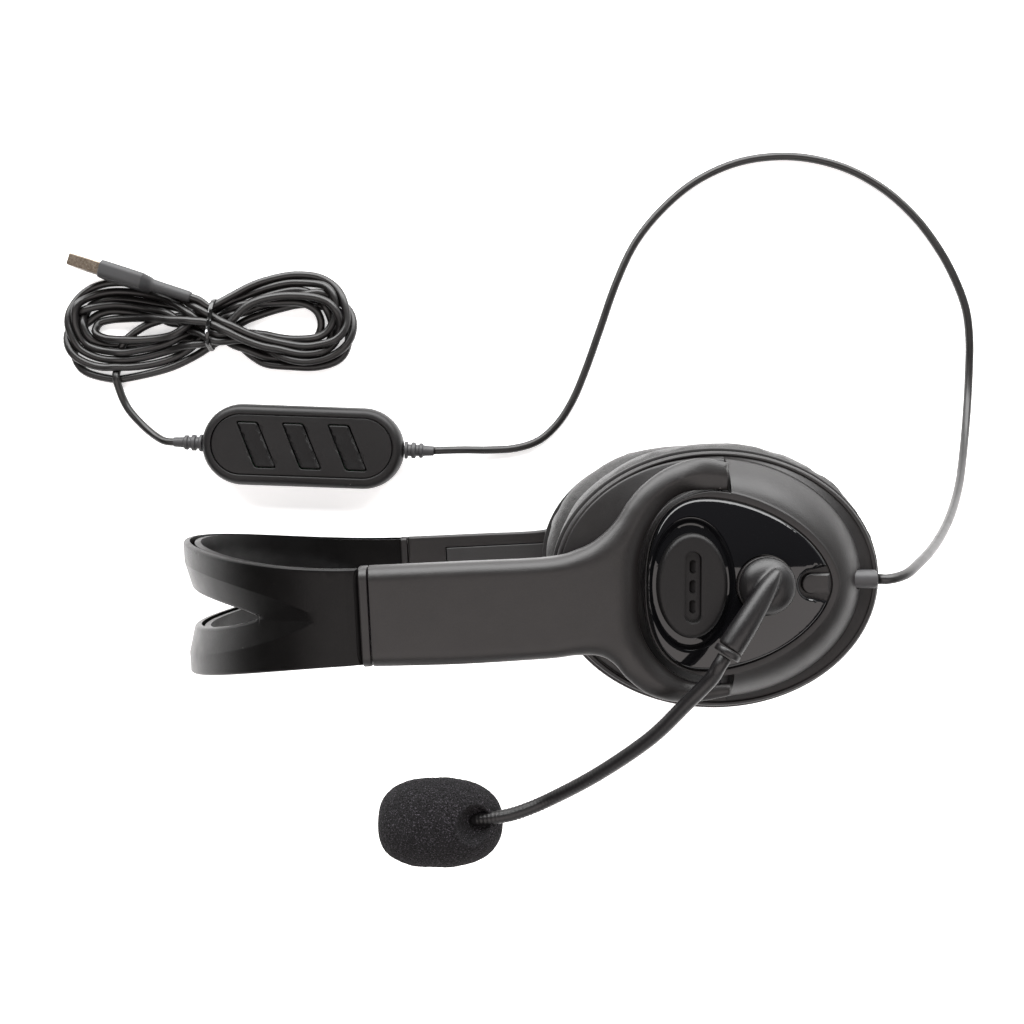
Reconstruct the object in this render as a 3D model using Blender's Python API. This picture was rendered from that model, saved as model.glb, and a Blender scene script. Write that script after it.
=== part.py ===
"""Office headset: headband with two sliding arms, two pivoting ear cups, a
microphone boom and a cable with an in-line remote and a USB plug.

The headset lies on its side.  +X runs from the crown to the ear cups, +Z runs
from the far ear to the near ear, and the far arm rests on z = 0.  Shapes are
worked out in millimetres and scaled to metres when a mesh is made.  Points on
the headset are (x, y, w), where w is the distance from the median plane.
"""

import math

import bpy
from mathutils import Vector
from mathutils.geometry import delaunay_2d_cdt

MM = 0.001
GAP = 0.3                       # space kept between touching pieces
ORIGIN_SHIFT = (-4.5, 0.0, 0.0)  # puts the origin under the headset's middle

# Headset frame
HALF_WIDTH = 69.0               # median plane to an arm's outer face
ARM_TILT = math.radians(2.8)    # arms and band lean against the cups' axis
ARM_LINE_Y = 17.9               # height of the arm's centre line at x = 0
ARM_JOINT = -37.4               # where an arm meets the band's end cap
ARM_HALF = 13.85                # the arm's height above its line at the joint
ARM_HALF_LOW = 14.35            # and below it

# Headband
BAND_RISE = 66.4                # joint to crown
BAND_SHELL = 2.0
LINER_DEPTH = 3.4
LINER_SHELL = 2.0
BAND_END = math.radians(87.2)   # crown angle where the band enters its cap
BAND_ARC_RADIUS = 68.0          # turns a crown angle into a length
SLOT_END = math.radians(59.0)
SLOT_HALF = 6.2
CREASE_END = math.radians(77.3)
CREASE_HALF = 15.0
CREASE_SLOPE = 0.25
CAP_LENGTH = 2.5
CAP_DEPTH = 7.7

# Slider
BLADE_HALF = 7.0
BLADE_TOP = 66.7
BLADE_BOTTOM = 65.9
BLADE_REACH = 38.0              # length of blade inside the arm

# Arm and yoke
ARM_THICK = 8.0
PRONG_THICK = 4.7
PRONG_DROP = 6.7
YOKE_START_X = 20.0
YOKE_END_X = 63.4
ARM_ROUND = 3.0

# Ear cup
CUP_X, CUP_Y = 59.8, 25.2
LIP_X, LIP_Y = 61.9, 24.7       # the flange stands off the cup's middle
LIP_A, LIP_B = 47.3, 37.4
BASE_A, BASE_B = 43.6, 34.7
WALL_X_UP, WALL_X_LOW = 64.1, 65.3
EGG_X, EGG_Y = 57.0, 24.4
EGG_RIGHT, EGG_LEFT = 35.5, 16.6
EGG_HALF = 24.4
BEZEL_TOP = 61.5
COVER_CROWN = 66.2
HINGE_X, HINGE_W = 61.0, 59.7
PIN_RADIUS = 1.2
BADGE_X, BADGE_Y = 52.4, 24.5
BADGE_A, BADGE_B = 9.9, 14.7
BADGE_TOP = 68.0
MOAT_A, MOAT_B = 12.3, 19.3
CUSHION_X, CUSHION_Y = 63.5, 26.2
CUSHION_A, CUSHION_B = 50.0, 39.8
CUSHION_FACE, CUSHION_BACK = 21.5, 45.0
EAR_A, EAR_B = 29.0, 20.0

# Microphone
HUB_X, HUB_Y = 73.1, 24.5
HUB_RADIUS = 8.0
BOOM_RADIUS = 2.05
FOAM_CENTRE = (-19.8, -52.2, 33.0)
FOAM_HALF_LENGTH = 19.6
FOAM_RADIUS = 13.8

# Cable
CABLE_RADIUS = 1.5
GLAND_W = 54.0
GLAND_END_X = 107.3

# In-line remote
POD_X, POD_Y = -77.6, 64.6
POD_TILT = math.radians(-2.0)
POD_LENGTH, POD_WIDTH, POD_HEIGHT = 77.0, 31.0, 12.0
KEY_PITCH = 17.3
KEY_WIDTH, KEY_HEIGHT, KEY_SLANT = 7.4, 16.6, 7.4

# Hank and plug
WAIST_X = -111.2
HANK_HEIGHT = 13.0
PLUG_JOINT = (-152.5, 131.3)
PLUG_ANGLE = math.radians(-17.2)
PLUG_AXIS_Z = 8.0
USB_LENGTH, USB_WIDTH, USB_THICK = 12.0, 12.0, 4.5
RIM = 40                        # points round an ear cup


# --- scene, materials and bodies -------------------------------------------

def clear_scene():
    for item in list(bpy.data.objects):
        bpy.data.objects.remove(item, do_unlink=True)


# A finish is a colour, a roughness and a metallic value.
SATIN = ((0.030, 0.029, 0.030), 0.45, 0.0)
LINER = ((0.018, 0.017, 0.017), 0.50, 0.0)
GLOSS = ((0.006, 0.006, 0.006), 0.06, 0.0)
INNER = ((0.025, 0.025, 0.025), 0.60, 0.0)
LEATHERETTE = ((0.015, 0.015, 0.015), 0.50, 0.0)
CLOTH = ((0.012, 0.012, 0.012), 0.95, 0.0)
FOAM = ((0.020, 0.020, 0.021), 1.0, 0.0)
CABLE = ((0.017, 0.016, 0.016), 0.38, 0.0)
RUBBER = ((0.030, 0.030, 0.031), 0.55, 0.0)
STEEL = ((0.55, 0.55, 0.56), 0.30, 1.0)
PLUG = ((0.17, 0.14, 0.11), 0.40, 1.0)
BOARD = ((0.02, 0.09, 0.04), 0.50, 0.0)
FILM = ((0.30, 0.30, 0.31), 0.30, 0.0)


def make_material(name, finish):
    colour, roughness, metallic = finish
    material = bpy.data.materials.new(name)
    material.use_nodes = True
    shader = material.node_tree.nodes["Principled BSDF"]
    shader.inputs["Base Color"].default_value = (*colour, 1.0)
    shader.inputs["Roughness"].default_value = roughness
    shader.inputs["Metallic"].default_value = metallic
    return material


def make_body(name, headset, x, y, z):
    """An empty on a body's joint axis; every piece of the body hangs on it."""
    empty = bpy.data.objects.new(name, None)
    empty.location = Vector((x, y, z)) * MM
    empty.parent = headset
    bpy.context.collection.objects.link(empty)
    return empty


def add_piece(name, body, finish, shape, side=None, sharp=38.0):
    """One closed solid.  side is +1 or -1 for (x, y, w) points, None for z."""
    points, faces = shape
    if side is not None:
        points = [(x, y, HALF_WIDTH + side * w) for x, y, w in points]
    mesh = bpy.data.meshes.new(name)
    mesh.from_pydata([Vector(p) * MM for p in points], [], faces)
    turn_outward(mesh)
    mesh.materials.append(make_material(name, finish))
    mesh.shade_smooth()
    mesh.set_sharp_from_angle(angle=math.radians(sharp))
    piece = bpy.data.objects.new(name, mesh)
    bpy.context.collection.objects.link(piece)
    piece.parent = body
    piece.location = -body.location
    return piece


def turn_outward(mesh):
    """Flip a closed mesh whose faces point inward: its volume is negative."""
    volume = 0.0
    for polygon in mesh.polygons:
        corners = [mesh.vertices[i].co for i in polygon.vertices]
        for one, two in zip(corners[1:], corners[2:]):
            volume += corners[0].dot(one.cross(two))
    if volume < 0.0:
        mesh.flip_normals()


def bore(piece, name, start, end, radius):
    """Cut a round hole through a piece, between two world points in mm."""
    points, faces = tube([start, end], [radius, radius], 16)
    mesh = bpy.data.meshes.new(name)
    mesh.from_pydata([Vector(p) * MM for p in points], [], faces)
    turn_outward(mesh)
    cut(piece, name, mesh)


def cut(piece, name, mesh):
    cutter = bpy.data.objects.new(name, mesh)
    bpy.context.collection.objects.link(cutter)
    cutter.parent = piece.parent
    cutter.location = piece.location
    cutter.hide_render = True
    cutter.display_type = "WIRE"
    modifier = piece.modifiers.new(name, "BOOLEAN")
    modifier.operation = "DIFFERENCE"
    modifier.solver = "EXACT"
    modifier.object = cutter


# --- shape helpers -----------------------------------------------------------

def clamp(value, low=0.0, high=1.0):
    return max(low, min(high, value))


def ease(value):
    value = clamp(value)
    return value * value * (3.0 - 2.0 * value)


def power(value, exponent):
    """Signed power, for superellipses."""
    return math.copysign(abs(value) ** exponent, value)


def round_over(distance, radius):
    """Drop below the flat at a distance from a rounded edge."""
    if distance >= radius:
        return 0.0
    return radius - math.sqrt(radius ** 2 - (radius - distance) ** 2)


def smooth_path(points, steps, closed=False):
    """Catmull-Rom curve through the points, in any number of dimensions."""
    count = len(points)
    result = []
    spans = count if closed else count - 1
    for i in range(spans):
        if closed:
            four = [points[(i + k) % count] for k in (-1, 0, 1, 2)]
        else:
            four = [points[clamp(i + k, 0, count - 1)] for k in (-1, 0, 1, 2)]
        for step in range(steps):
            result.append(tuple(spline_value(axis, step / steps)
                                for axis in zip(*four)))
    if not closed:
        result.append(tuple(points[-1]))
    return result


def spline_value(values, t):
    a, b, c, d = values
    return 0.5 * (2 * b + (c - a) * t + (2 * a - 5 * b + 4 * c - d) * t * t
                  + (3 * b - a - 3 * c + d) * t ** 3)


def even_path(points, spacing):
    """Points at an even spacing along a smooth curve through the points."""
    fine = [Vector(p) for p in smooth_path(points, 24)]
    lengths = [0.0]
    for one, two in zip(fine, fine[1:]):
        lengths.append(lengths[-1] + (two - one).length)
    count = max(2, round(lengths[-1] / spacing))
    result = []
    place = 0
    for i in range(count + 1):
        target = lengths[-1] * i / count
        while place < len(fine) - 2 and lengths[place + 1] < target:
            place += 1
        span = lengths[place + 1] - lengths[place]
        part = clamp((target - lengths[place]) / span) if span else 0.0
        result.append(tuple(fine[place].lerp(fine[place + 1], part)))
    return result


def ring(a, b, w, count=RIM, x=CUP_X, y=CUP_Y):
    """Oval of half-axes a and b at height w."""
    return [(x + a * math.cos(t), y + b * math.sin(t), w)
            for t in (math.tau * i / count for i in range(count))]


def loft(rings, joined=False):
    """Quads between rings; the ends are closed, or joined to each other."""
    count = len(rings[0])
    points = [p for each in rings for p in each]
    pairs = [(i, i + 1) for i in range(len(rings) - 1)]
    if joined:
        pairs.append((len(rings) - 1, 0))
    faces = []
    for a, b in pairs:
        for i in range(count):
            j = (i + 1) % count
            faces.append((a * count + i, a * count + j, b * count + j, b * count + i))
    if not joined:
        for first, turn in ((0, -1), (len(rings) - 1, 1)):
            centre = sum((Vector(p) for p in rings[first]), Vector()) / count
            points.append(tuple(centre))
            for i in range(count):
                fan = (first * count + i, first * count + (i + 1) % count, len(points) - 1)
                faces.append(fan[::turn])
    return points, faces


def tube(path, radii, sides):
    """Round bar along a path of 3-D points, with a radius at each point."""
    path = [Vector(p) for p in path]
    rings = []
    across = None
    for i, point in enumerate(path):
        ahead = path[min(i + 1, len(path) - 1)] - path[max(i - 1, 0)]
        ahead.normalize()
        if across is None:
            across = ahead.orthogonal().normalized()
        across = (across - ahead * across.dot(ahead)).normalized()
        up = ahead.cross(across)
        rings.append([tuple(point + radii[i] * (across * math.cos(t) + up * math.sin(t)))
                      for t in (math.tau * k / sides for k in range(sides))])
    return loft(rings)


def inside(u, v, loop):
    result = False
    for (u1, v1), (u2, v2) in zip(loop, loop[1:] + loop[:1]):
        if (v1 > v) != (v2 > v) and u < (u2 - u1) * (v - v1) / (v2 - v1) + u1:
            result = not result
    return result


def edge_distance(u, v, loops):
    best = 1e9
    for loop in loops:
        for (u1, v1), (u2, v2) in zip(loop, loop[1:] + loop[:1]):
            du, dv = u2 - u1, v2 - v1
            t = clamp(((u - u1) * du + (v - v1) * dv) / (du * du + dv * dv))
            best = min(best, math.hypot(u - u1 - t * du, v - v1 - t * dv))
    return best


def inset(loop, distance):
    """Points inside a closed loop, at a distance from it."""
    result = []
    inward = 1.0 if loop_area(loop) > 0 else -1.0
    for i, (u, v) in enumerate(loop):
        u1, v1 = loop[i - 1]
        u2, v2 = loop[(i + 1) % len(loop)]
        length = math.hypot(u2 - u1, v2 - v1)
        point = (u - inward * distance * (v2 - v1) / length,
                 v + inward * distance * (u2 - u1) / length)
        if edge_distance(*point, [loop]) > 0.9 * distance and inside(*point, loop):
            result.append(point)
    return result


def loop_area(loop):
    return 0.5 * sum(u1 * v2 - u2 * v1
                     for (u1, v1), (u2, v2) in zip(loop, loop[1:] + loop[:1]))


def plate(outline, place, holes=(), lines=(), dots=(), spacing=6.0):
    """A solid sheet over an outline.

    place(u, v, top) gives the 3-D point of each face.  holes and lines are
    closed loops that the surface keeps, and dots are single points.
    """
    loops = [list(outline)] + [list(h) for h in holes] + [list(k) for k in lines]
    coords = []
    edges = []
    for loop in loops:
        start = len(coords)
        coords += loop
        edges += [(start + i, start + (i + 1) % len(loop)) for i in range(len(loop))]
    coords += list(dots)
    coords += inner_grid(loops, holes, spacing)
    flat = delaunay_2d_cdt([Vector(c) for c in coords], edges, [], 0, 1e-5)
    verts, triangles = flat[0], flat[2]
    kept = []
    for triangle in triangles:
        u = sum(verts[i].x for i in triangle) / 3
        v = sum(verts[i].y for i in triangle) / 3
        if inside(u, v, loops[0]) and not any(inside(u, v, list(h)) for h in holes):
            kept.append(tuple(triangle))
    return thicken(verts, kept, place)


def inner_grid(loops, holes, spacing):
    us = [u for u, v in loops[0]]
    vs = [v for u, v in loops[0]]
    result = []
    row = 0
    v = min(vs) + spacing / 2
    while v < max(vs):
        u = min(us) + spacing * (0.5 + 0.5 * (row % 2))
        while u < max(us):
            if (inside(u, v, loops[0]) and not any(inside(u, v, list(h)) for h in holes)
                    and edge_distance(u, v, loops) > 0.6 * spacing):
                result.append((u, v))
            u += spacing
        v += spacing * 0.87
        row += 1
    return result


def thicken(verts, triangles, place):
    used = sorted({i for t in triangles for i in t})
    order = {old: new for new, old in enumerate(used)}
    count = len(used)
    points = [place(verts[i].x, verts[i].y, top) for top in (True, False) for i in used]
    faces = []
    seen = {}
    for triangle in triangles:
        a, b, c = (order[i] for i in triangle)
        faces.append((a, b, c))
        faces.append((c + count, b + count, a + count))
        for edge in ((a, b), (b, c), (c, a)):
            seen[edge] = True
    for a, b in seen:
        if (b, a) not in seen:
            faces.append((b, a, a + count, b + count))
    return points, faces


# --- headband -------------------------------------------------------------------

def arm_xy(p, q):
    """Along and across the arm's line, to x and y."""
    c, s = math.cos(ARM_TILT), math.sin(ARM_TILT)
    return p * c - q * s, ARM_LINE_Y + p * s + q * c


def band_half(angle):
    return 13.5 + 7.9 * math.cos(angle) ** 1.85


def slot_half(angle):
    reach = abs(angle) / SLOT_END
    return SLOT_HALF * max(0.0, 1.0 - reach ** 2.2) ** 0.75


def crease_half(angle):
    reach = abs(angle) / CREASE_END
    return CREASE_HALF * max(0.0, 1.0 - reach ** 2) ** 0.75


def band_point(angle, q, depth):
    p = ARM_JOINT - (BAND_RISE - depth) * math.cos(angle)
    return (*arm_xy(p, q), (HALF_WIDTH - depth) * math.sin(angle))


def band_angles(limit, step):
    count = round(2 * limit / math.radians(step))
    return [-limit + 2 * limit * i / count for i in range(count + 1)]


def band_loop(half, limit, step):
    """Closed loop of (length, q) between two mirrored edges."""
    angles = band_angles(limit, step)
    upper = [(a * BAND_ARC_RADIUS, half(a)) for a in angles]
    lower = [(u, -v) for u, v in reversed(upper)]
    if upper[0][1] < 0.01:
        upper, lower = upper[1:-1], lower
    return lower + upper


def headband_sheet(depth, shell, margin, chamfer, edge_round):
    """One of the band's two layers, split into two straps by a slot."""
    outline = band_loop(lambda a: band_half(a) - margin, BAND_END, 6.0)
    hole = band_loop(lambda a: slot_half(a) + (margin if abs(a) < SLOT_END * 0.98 else 0.0),
                     SLOT_END, 5.6)
    crease = band_loop(crease_half, CREASE_END, 7.0)

    def place(u, v, top):
        angle = u / BAND_ARC_RADIUS
        fall = chamfer * max(0.0, crease_half(angle) - abs(v))
        here = depth + fall + (0.0 if top else shell)
        if top:
            here += round_over(edge_distance(u, v, [outline]), edge_round)
        return band_point(angle, v, here)

    rounding = inset(outline, edge_round)
    return plate(outline, place, holes=[hole], lines=[crease], dots=rounding, spacing=9.0)


def end_cap(side):
    """Frame at the band's end: the band's layers enter it from the crown."""
    top = HALF_WIDTH
    rings = []
    for p, shrink in ((0.0, 0.5), (0.4, 0.0), (CAP_LENGTH - 0.4, 0.0), (CAP_LENGTH, 0.4)):
        place = ARM_JOINT - GAP / 2 - p
        rings.append(rounded_section(place, ARM_HALF - shrink, shrink - ARM_HALF_LOW,
                                     top - shrink, top - CAP_DEPTH + shrink, 1.6))
    return loft(rings)


def rounded_section(p, high, low, top, bottom, radius):
    """Rounded rectangle across the arm's line at p."""
    corners = [(high - radius, top - radius, 0), (low + radius, top - radius, 1),
               (low + radius, bottom + radius, 2), (high - radius, bottom + radius, 3)]
    result = []
    for q, w, quarter in corners:
        for step in range(4):
            t = math.pi / 2 * (quarter + step / 3)
            result.append((*arm_xy(p, q + radius * math.cos(t)), w + radius * math.sin(t)))
    return result


def blade_box(start, end, half, bottom, top):
    """Straight bar along the arm's line."""
    corners = [(start, -half), (end, -half), (end, half), (start, half)]
    low = [(*arm_xy(p, q), bottom) for p, q in corners]
    high = [(x, y, top) for x, y, w in low]
    return loft([low, high])


def build_headband(bodies):
    band = bodies["headband"]
    shell = headband_sheet(0.0, BAND_SHELL, 0.0, CREASE_SLOPE, 0.8)
    add_piece("headband_shell", band, SATIN, shell, 1, 25.0)
    liner = headband_sheet(LINER_DEPTH, LINER_SHELL, 0.6, 0.2, 0.5)
    add_piece("headband_liner", band, LINER, liner, 1, 25.0)
    for word, side in (("near", 1), ("far", -1)):
        add_piece(f"band_end_cap_{word}", band, SATIN, end_cap(side), side)
        blade = blade_box(ARM_JOINT, ARM_JOINT + BLADE_REACH, BLADE_HALF,
                          BLADE_BOTTOM, BLADE_TOP)
        add_piece(f"slider_blade_{word}", band, STEEL, blade, side)


# --- arms and yokes --------------------------------------------------------------

def arm_face(x):
    return HALF_WIDTH - PRONG_DROP * ease((x - YOKE_START_X) / (YOKE_END_X - YOKE_START_X))


def arm_under(x):
    share = ease((x - YOKE_START_X) / (YOKE_END_X - YOKE_START_X))
    return arm_face(x) - ARM_THICK + (ARM_THICK - PRONG_THICK) * share


def arm_outline():
    """Stem from the joint, the upper prong, the inner C and the lower prong."""
    joint = ARM_JOINT + GAP / 2
    upper = [arm_xy(joint, ARM_HALF), (-12.0, 31.1), (12.0, 32.3), (21.5, 34.8),
             (26.8, 37.9), (31.2, 42.3), (35.0, 48.0), (39.6, 53.0), (46.2, 57.4),
             (54.8, 60.0), (YOKE_END_X, 58.7)]
    inner = [(YOKE_END_X, 52.9), (57.5, 52.6), (51.6, 51.2), (46.5, 47.9), (42.2, 42.8),
             (39.2, 36.8), (37.7, 30.0), (37.6, 22.0), (38.0, 14.0), (40.0, 8.0),
             (44.0, 2.4), (50.0, -2.2), (56.5, -4.2), (WALL_X_LOW - 2.4 * GAP, -4.0)]
    lower = [(WALL_X_LOW - 2.4 * GAP, -7.4), (58.0, -8.7), (52.3, -9.3), (46.7, -8.9),
             (40.5, -6.6), (34.8, -2.2), (31.0, 2.2), (26.8, 4.6), (20.5, 4.9),
             (12.0, 3.9), (-12.0, 2.4), arm_xy(joint, -ARM_HALF_LOW)]
    result = []
    for part in (upper, inner, lower):
        result += smooth_path(part, 2)
    return result[::-1]


def arm_shape():
    outline = arm_outline()

    def place(u, v, top):
        if not top:
            return (u, v, arm_under(u))
        edge = round_over(edge_distance(u, v, [outline]), ARM_ROUND)
        return (u, v, arm_face(u) - edge)

    dots = [d for share in (0.3, 1.0) for d in inset(outline, share * ARM_ROUND)]
    return plate(outline, place, dots=dots, spacing=10.0)


def build_arm(word, side, body):
    arm = add_piece(f"{word}_arm", body, SATIN, arm_shape(), side)
    pocket = blade_box(ARM_JOINT - 2.0, ARM_JOINT + BLADE_REACH + 2.0, BLADE_HALF + GAP,
                       BLADE_BOTTOM - GAP, BLADE_TOP + GAP)
    recess = blade_box(-22.9, 16.3, 9.3, HALF_WIDTH - ARM_THICK - 1.0, 65.3)
    for name, shape in (("slot", pocket), ("recess", recess)):
        points, faces = shape
        mesh = bpy.data.meshes.new(name)
        mesh.from_pydata([Vector((x, y, HALF_WIDTH + side * w)) * MM for x, y, w in points],
                         [], faces)
        turn_outward(mesh)
        cut(arm, f"{word}_arm_{name}", mesh)
    cover = blade_box(-22.6, 16.0, 9.0, HALF_WIDTH - ARM_THICK, 65.0)
    add_piece(f"{word}_arm_cover", body, INNER, cover, side)
    for end, outer, tip in (("upper", 56.4, 49.6), ("lower", -6.8, -0.6)):
        height = HALF_WIDTH + side * HINGE_W
        step = math.copysign(GAP, outer - tip)
        bore(arm, f"{word}_{end}_pin_hole", (HINGE_X, outer + step, height),
             (HINGE_X, tip - 5 * step, height), PIN_RADIUS + GAP)
        pin = tube([(HINGE_X, outer, height), (HINGE_X, tip, height)], [PIN_RADIUS] * 2, 12)
        add_piece(f"{word}_hinge_pin_{end}", body, STEEL, pin)


# --- ear cups ---------------------------------------------------------------------

def egg_point(t, grow):
    """Cover outline: a pointed oval to the right and a blunt one to the left."""
    c, s = math.cos(t), math.sin(t)
    if c >= 0:
        exponent, reach = 1.75, EGG_RIGHT
    else:
        exponent, reach = 2.4, EGG_LEFT
    grow = grow * (0.3 + 0.7 * ease((c + 0.4) / 0.6))
    return (EGG_X + (reach + grow) * power(c, 2 / exponent),
            EGG_Y + (EGG_HALF + grow) * power(s, 2 / exponent))


def oval_point(t, a, b, x=CUP_X, y=CUP_Y):
    return x + a * math.cos(t), y + b * math.sin(t)


def split_ring(curve, shift=0.0):
    """Round a curve with two close pairs of points at the hinge walls.

    Gives (x, y, raised) for each point; the right part is the raised one.
    """
    up = wall_angle(curve, WALL_X_UP + shift, 0.0, math.pi)
    low = wall_angle(curve, WALL_X_LOW + shift, 0.0, -math.pi)
    right = RIM // 2
    result = []
    for i in range(right + 1):
        result.append((*curve(low + (up - low) * i / right), True))
    left = RIM - right
    nudge = 0.012
    for i in range(left + 1):
        start, end = up + nudge, low + math.tau - nudge
        result.append((*curve(start + (end - start) * i / left), False))
    return result


def wall_angle(curve, x, low, high):
    for _ in range(40):
        middle = (low + high) / 2
        if curve(middle)[0] > x:
            low = middle
        else:
            high = middle
    return (low + high) / 2


def mix_curve(share):
    """Between the foot of the shell's slope (0) and the bezel's edge (1)."""
    def curve(t):
        ax, ay = oval_point(t, BASE_A, BASE_B)
        bx, by = egg_point(t, 2.7)
        return ax + (bx - ax) * share, ay + (by - ay) * share
    return curve


def shell_ring(curve, raised, sunk, shift=0.0):
    return [(x, y, raised if up else sunk) for x, y, up in split_ring(curve, shift)]


def cup_shell_shape():
    def oval(a, b, x=CUP_X, y=CUP_Y):
        return lambda t: oval_point(t, a, b, x, y)

    def lip(shrink):
        return oval(LIP_A - shrink, LIP_B - shrink, LIP_X, LIP_Y)

    def egg(grow):
        return lambda t: egg_point(t, grow)

    outer = [
        shell_ring(lip(0.0), 47.3, 47.3),
        shell_ring(lip(0.0), 49.3, 49.3),
        shell_ring(lip(0.8), 50.1, 50.1),
        shell_ring(oval(BASE_A + 0.3, BASE_B + 0.3), 50.6, 50.4),
        shell_ring(mix_curve(0.0), 52.2, 50.8),
        shell_ring(mix_curve(0.45), 57.7, 52.4),
        shell_ring(mix_curve(1.0), 61.2, 54.6),
        shell_ring(egg(2.2), BEZEL_TOP, BEZEL_TOP),
        shell_ring(egg(0.35), BEZEL_TOP, BEZEL_TOP),
        shell_ring(egg(0.30), 60.5, 60.5),
    ]
    wall = 1.8
    inner = [
        shell_ring(egg(-1.6), 58.8, 58.8, wall),
        shell_ring(egg(-1.2), 58.0, 52.8, wall),
        shell_ring(mix_curve(0.45), 55.6, 50.6, wall),
        shell_ring(oval(BASE_A - 0.6, BASE_B - 0.6), 50.4, 49.0, wall),
        shell_ring(lip(1.8), 47.3, 47.3, wall),
    ]
    return bowl(outer, inner)


def bowl(outer, inner):
    """Outer rings up to a closed top, inner rings from a closed ceiling down."""
    count = len(outer[0])
    rings = outer + inner
    points = [p for each in rings for p in each]
    faces = []
    last = len(rings) - 1
    for a in range(len(rings)):
        b = (a + 1) % len(rings)
        if a == len(outer) - 1:
            continue
        if a == last:
            b = 0
        for i in range(count):
            j = (i + 1) % count
            faces.append((a * count + i, a * count + j, b * count + j, b * count + i))
    for index in (len(outer) - 1, len(outer)):
        centre = sum((Vector(p) for p in rings[index]), Vector()) / count
        points.append(tuple(centre))
        for i in range(count):
            fan = (index * count + i, index * count + (i + 1) % count, len(points) - 1)
            faces.append(fan if index == len(outer) - 1 else fan[::-1])
    return points, faces


def cover_height(x, y):
    """Domed face of the gloss cover."""
    across = ((y - EGG_Y) / EGG_HALF) ** 2
    if x > EGG_X:
        reach = ((x - EGG_X) / EGG_RIGHT) ** 2
    else:
        reach = 0.25 * ((EGG_X - x) / EGG_LEFT) ** 2
    return COVER_CROWN - 4.0 * min(1.0, across + reach)


def tongue_loop(grow):
    """The tab at the cover's right end, or the notch round it."""
    half = 2.9 + grow
    left = 84.0 - grow
    arc = [(left + half * (1 - math.cos(t)), 24.6 + half * math.sin(t))
           for t in (math.pi * (i / 8 - 0.5) for i in range(9))]
    return arc[::-1]


def cover_shape(with_hub):
    egg = [egg_point(math.tau * (i + 0.5) / RIM, 0.0) for i in range(RIM)]
    notch = tongue_loop(1.2)
    spread = 0.9
    right = [egg[0][0] + 3.0, notch[0][1] + spread], [egg[0][0] + 3.0, notch[-1][1] - spread]
    notch_area = [tuple(right[0])] + notch + [tuple(right[1])]
    outline = notch_outline(egg, notch_area)
    moat = [(x, y) for x, y, w in ring(MOAT_A, MOAT_B, 0, 24, BADGE_X, BADGE_Y)]
    moat_floor = [(x, y) for x, y, w in ring(BADGE_A + 0.9, BADGE_B + 0.9, 0, 24,
                                             BADGE_X, BADGE_Y)]
    seat = [(x, y) for x, y, w in ring(HUB_RADIUS + 0.6, HUB_RADIUS + 0.6, 0, 16,
                                       HUB_X, HUB_Y)]
    seat_floor = [(x, y) for x, y, w in ring(HUB_RADIUS + 0.5, HUB_RADIUS + 0.5, 0, 16,
                                             HUB_X, HUB_Y)]
    inner_top = COVER_CROWN - 4.0

    def place(u, v, top):
        edge = edge_distance(u, v, [outline])
        face = cover_height(u, v)
        if not top:
            return (u, v, 60.9 + 1.2 * ease((edge - 1.0) / 2.0))
        if with_hub and math.hypot(u - HUB_X, v - HUB_Y) < HUB_RADIUS + 0.55:
            return (u, v, 64.0)
        depth = oval_reach(u, v, BADGE_X, BADGE_Y, MOAT_A, MOAT_B)
        if depth < 1.0:
            floor = oval_reach(u, v, BADGE_X, BADGE_Y, BADGE_A + 0.9, BADGE_B + 0.9)
            return (u, v, face - (1.9 if floor < 1.02 else 0.25))
        return (u, v, max(face - round_over(edge, 0.7), inner_top - 0.8))

    lines = [moat, moat_floor]
    if with_hub:
        lines += [seat, seat_floor]
    return plate(outline, place, lines=lines, dots=inset(outline, 0.7), spacing=8.0)


def oval_reach(u, v, x, y, a, b):
    return math.hypot((u - x) / a, (v - y) / b)


def notch_outline(egg, notch_area):
    """The egg with the notch taken out of its right end."""
    kept = [p for p in egg if not inside(*p, notch_area)]
    start = max(range(len(kept)), key=lambda i: math.dist(kept[i], kept[i - 1]))
    kept = kept[start:] + kept[:start]
    cut_edge = notch_area[1:-1]
    if math.dist(kept[-1], cut_edge[0]) > math.dist(kept[-1], cut_edge[-1]):
        cut_edge = cut_edge[::-1]
    return kept + cut_edge


def badge_shape():
    outline = [(x, y) for x, y, w in ring(BADGE_A, BADGE_B, 0, 28, BADGE_X, BADGE_Y)]
    slot = stadium(BADGE_X + 0.2, BADGE_Y - 0.3, 2.2, 9.9, 4)
    windows = [stadium(BADGE_X + 0.2, BADGE_Y - 0.3 + step, 0.95, 1.9, 2)
               for step in (-5.6, 0.0, 5.6)]
    lines = [slot, inset(slot, 0.3)]
    for window in windows:
        lines += [window, inset(window, 0.15)]

    def place(u, v, top):
        if not top:
            return (u, v, 64.7)
        edge = edge_distance(u, v, [outline])
        face = BADGE_TOP - round_over(edge, 1.4) - 0.4 * max(0.0, 1 - edge / 9.0)
        if any(inside(u, v, w) and edge_distance(u, v, [w]) > 0.08 for w in windows):
            face -= 2.0
        elif inside(u, v, slot) and edge_distance(u, v, [slot]) > 0.15:
            face -= 1.1
        return (u, v, face)

    dots = inset(outline, 1.0)
    return plate(outline, place, lines=lines, dots=dots, spacing=5.0)


def stadium(x, y, half_width, half_height, steps):
    """Upright loop with round ends."""
    straight = half_height - half_width
    result = []
    for end in (1, -1):
        for i in range(steps + 1):
            t = math.pi * (i / steps) + (0 if end > 0 else math.pi)
            result.append((x + half_width * math.cos(t),
                           y + end * straight + half_width * math.sin(t)))
    return result


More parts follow.
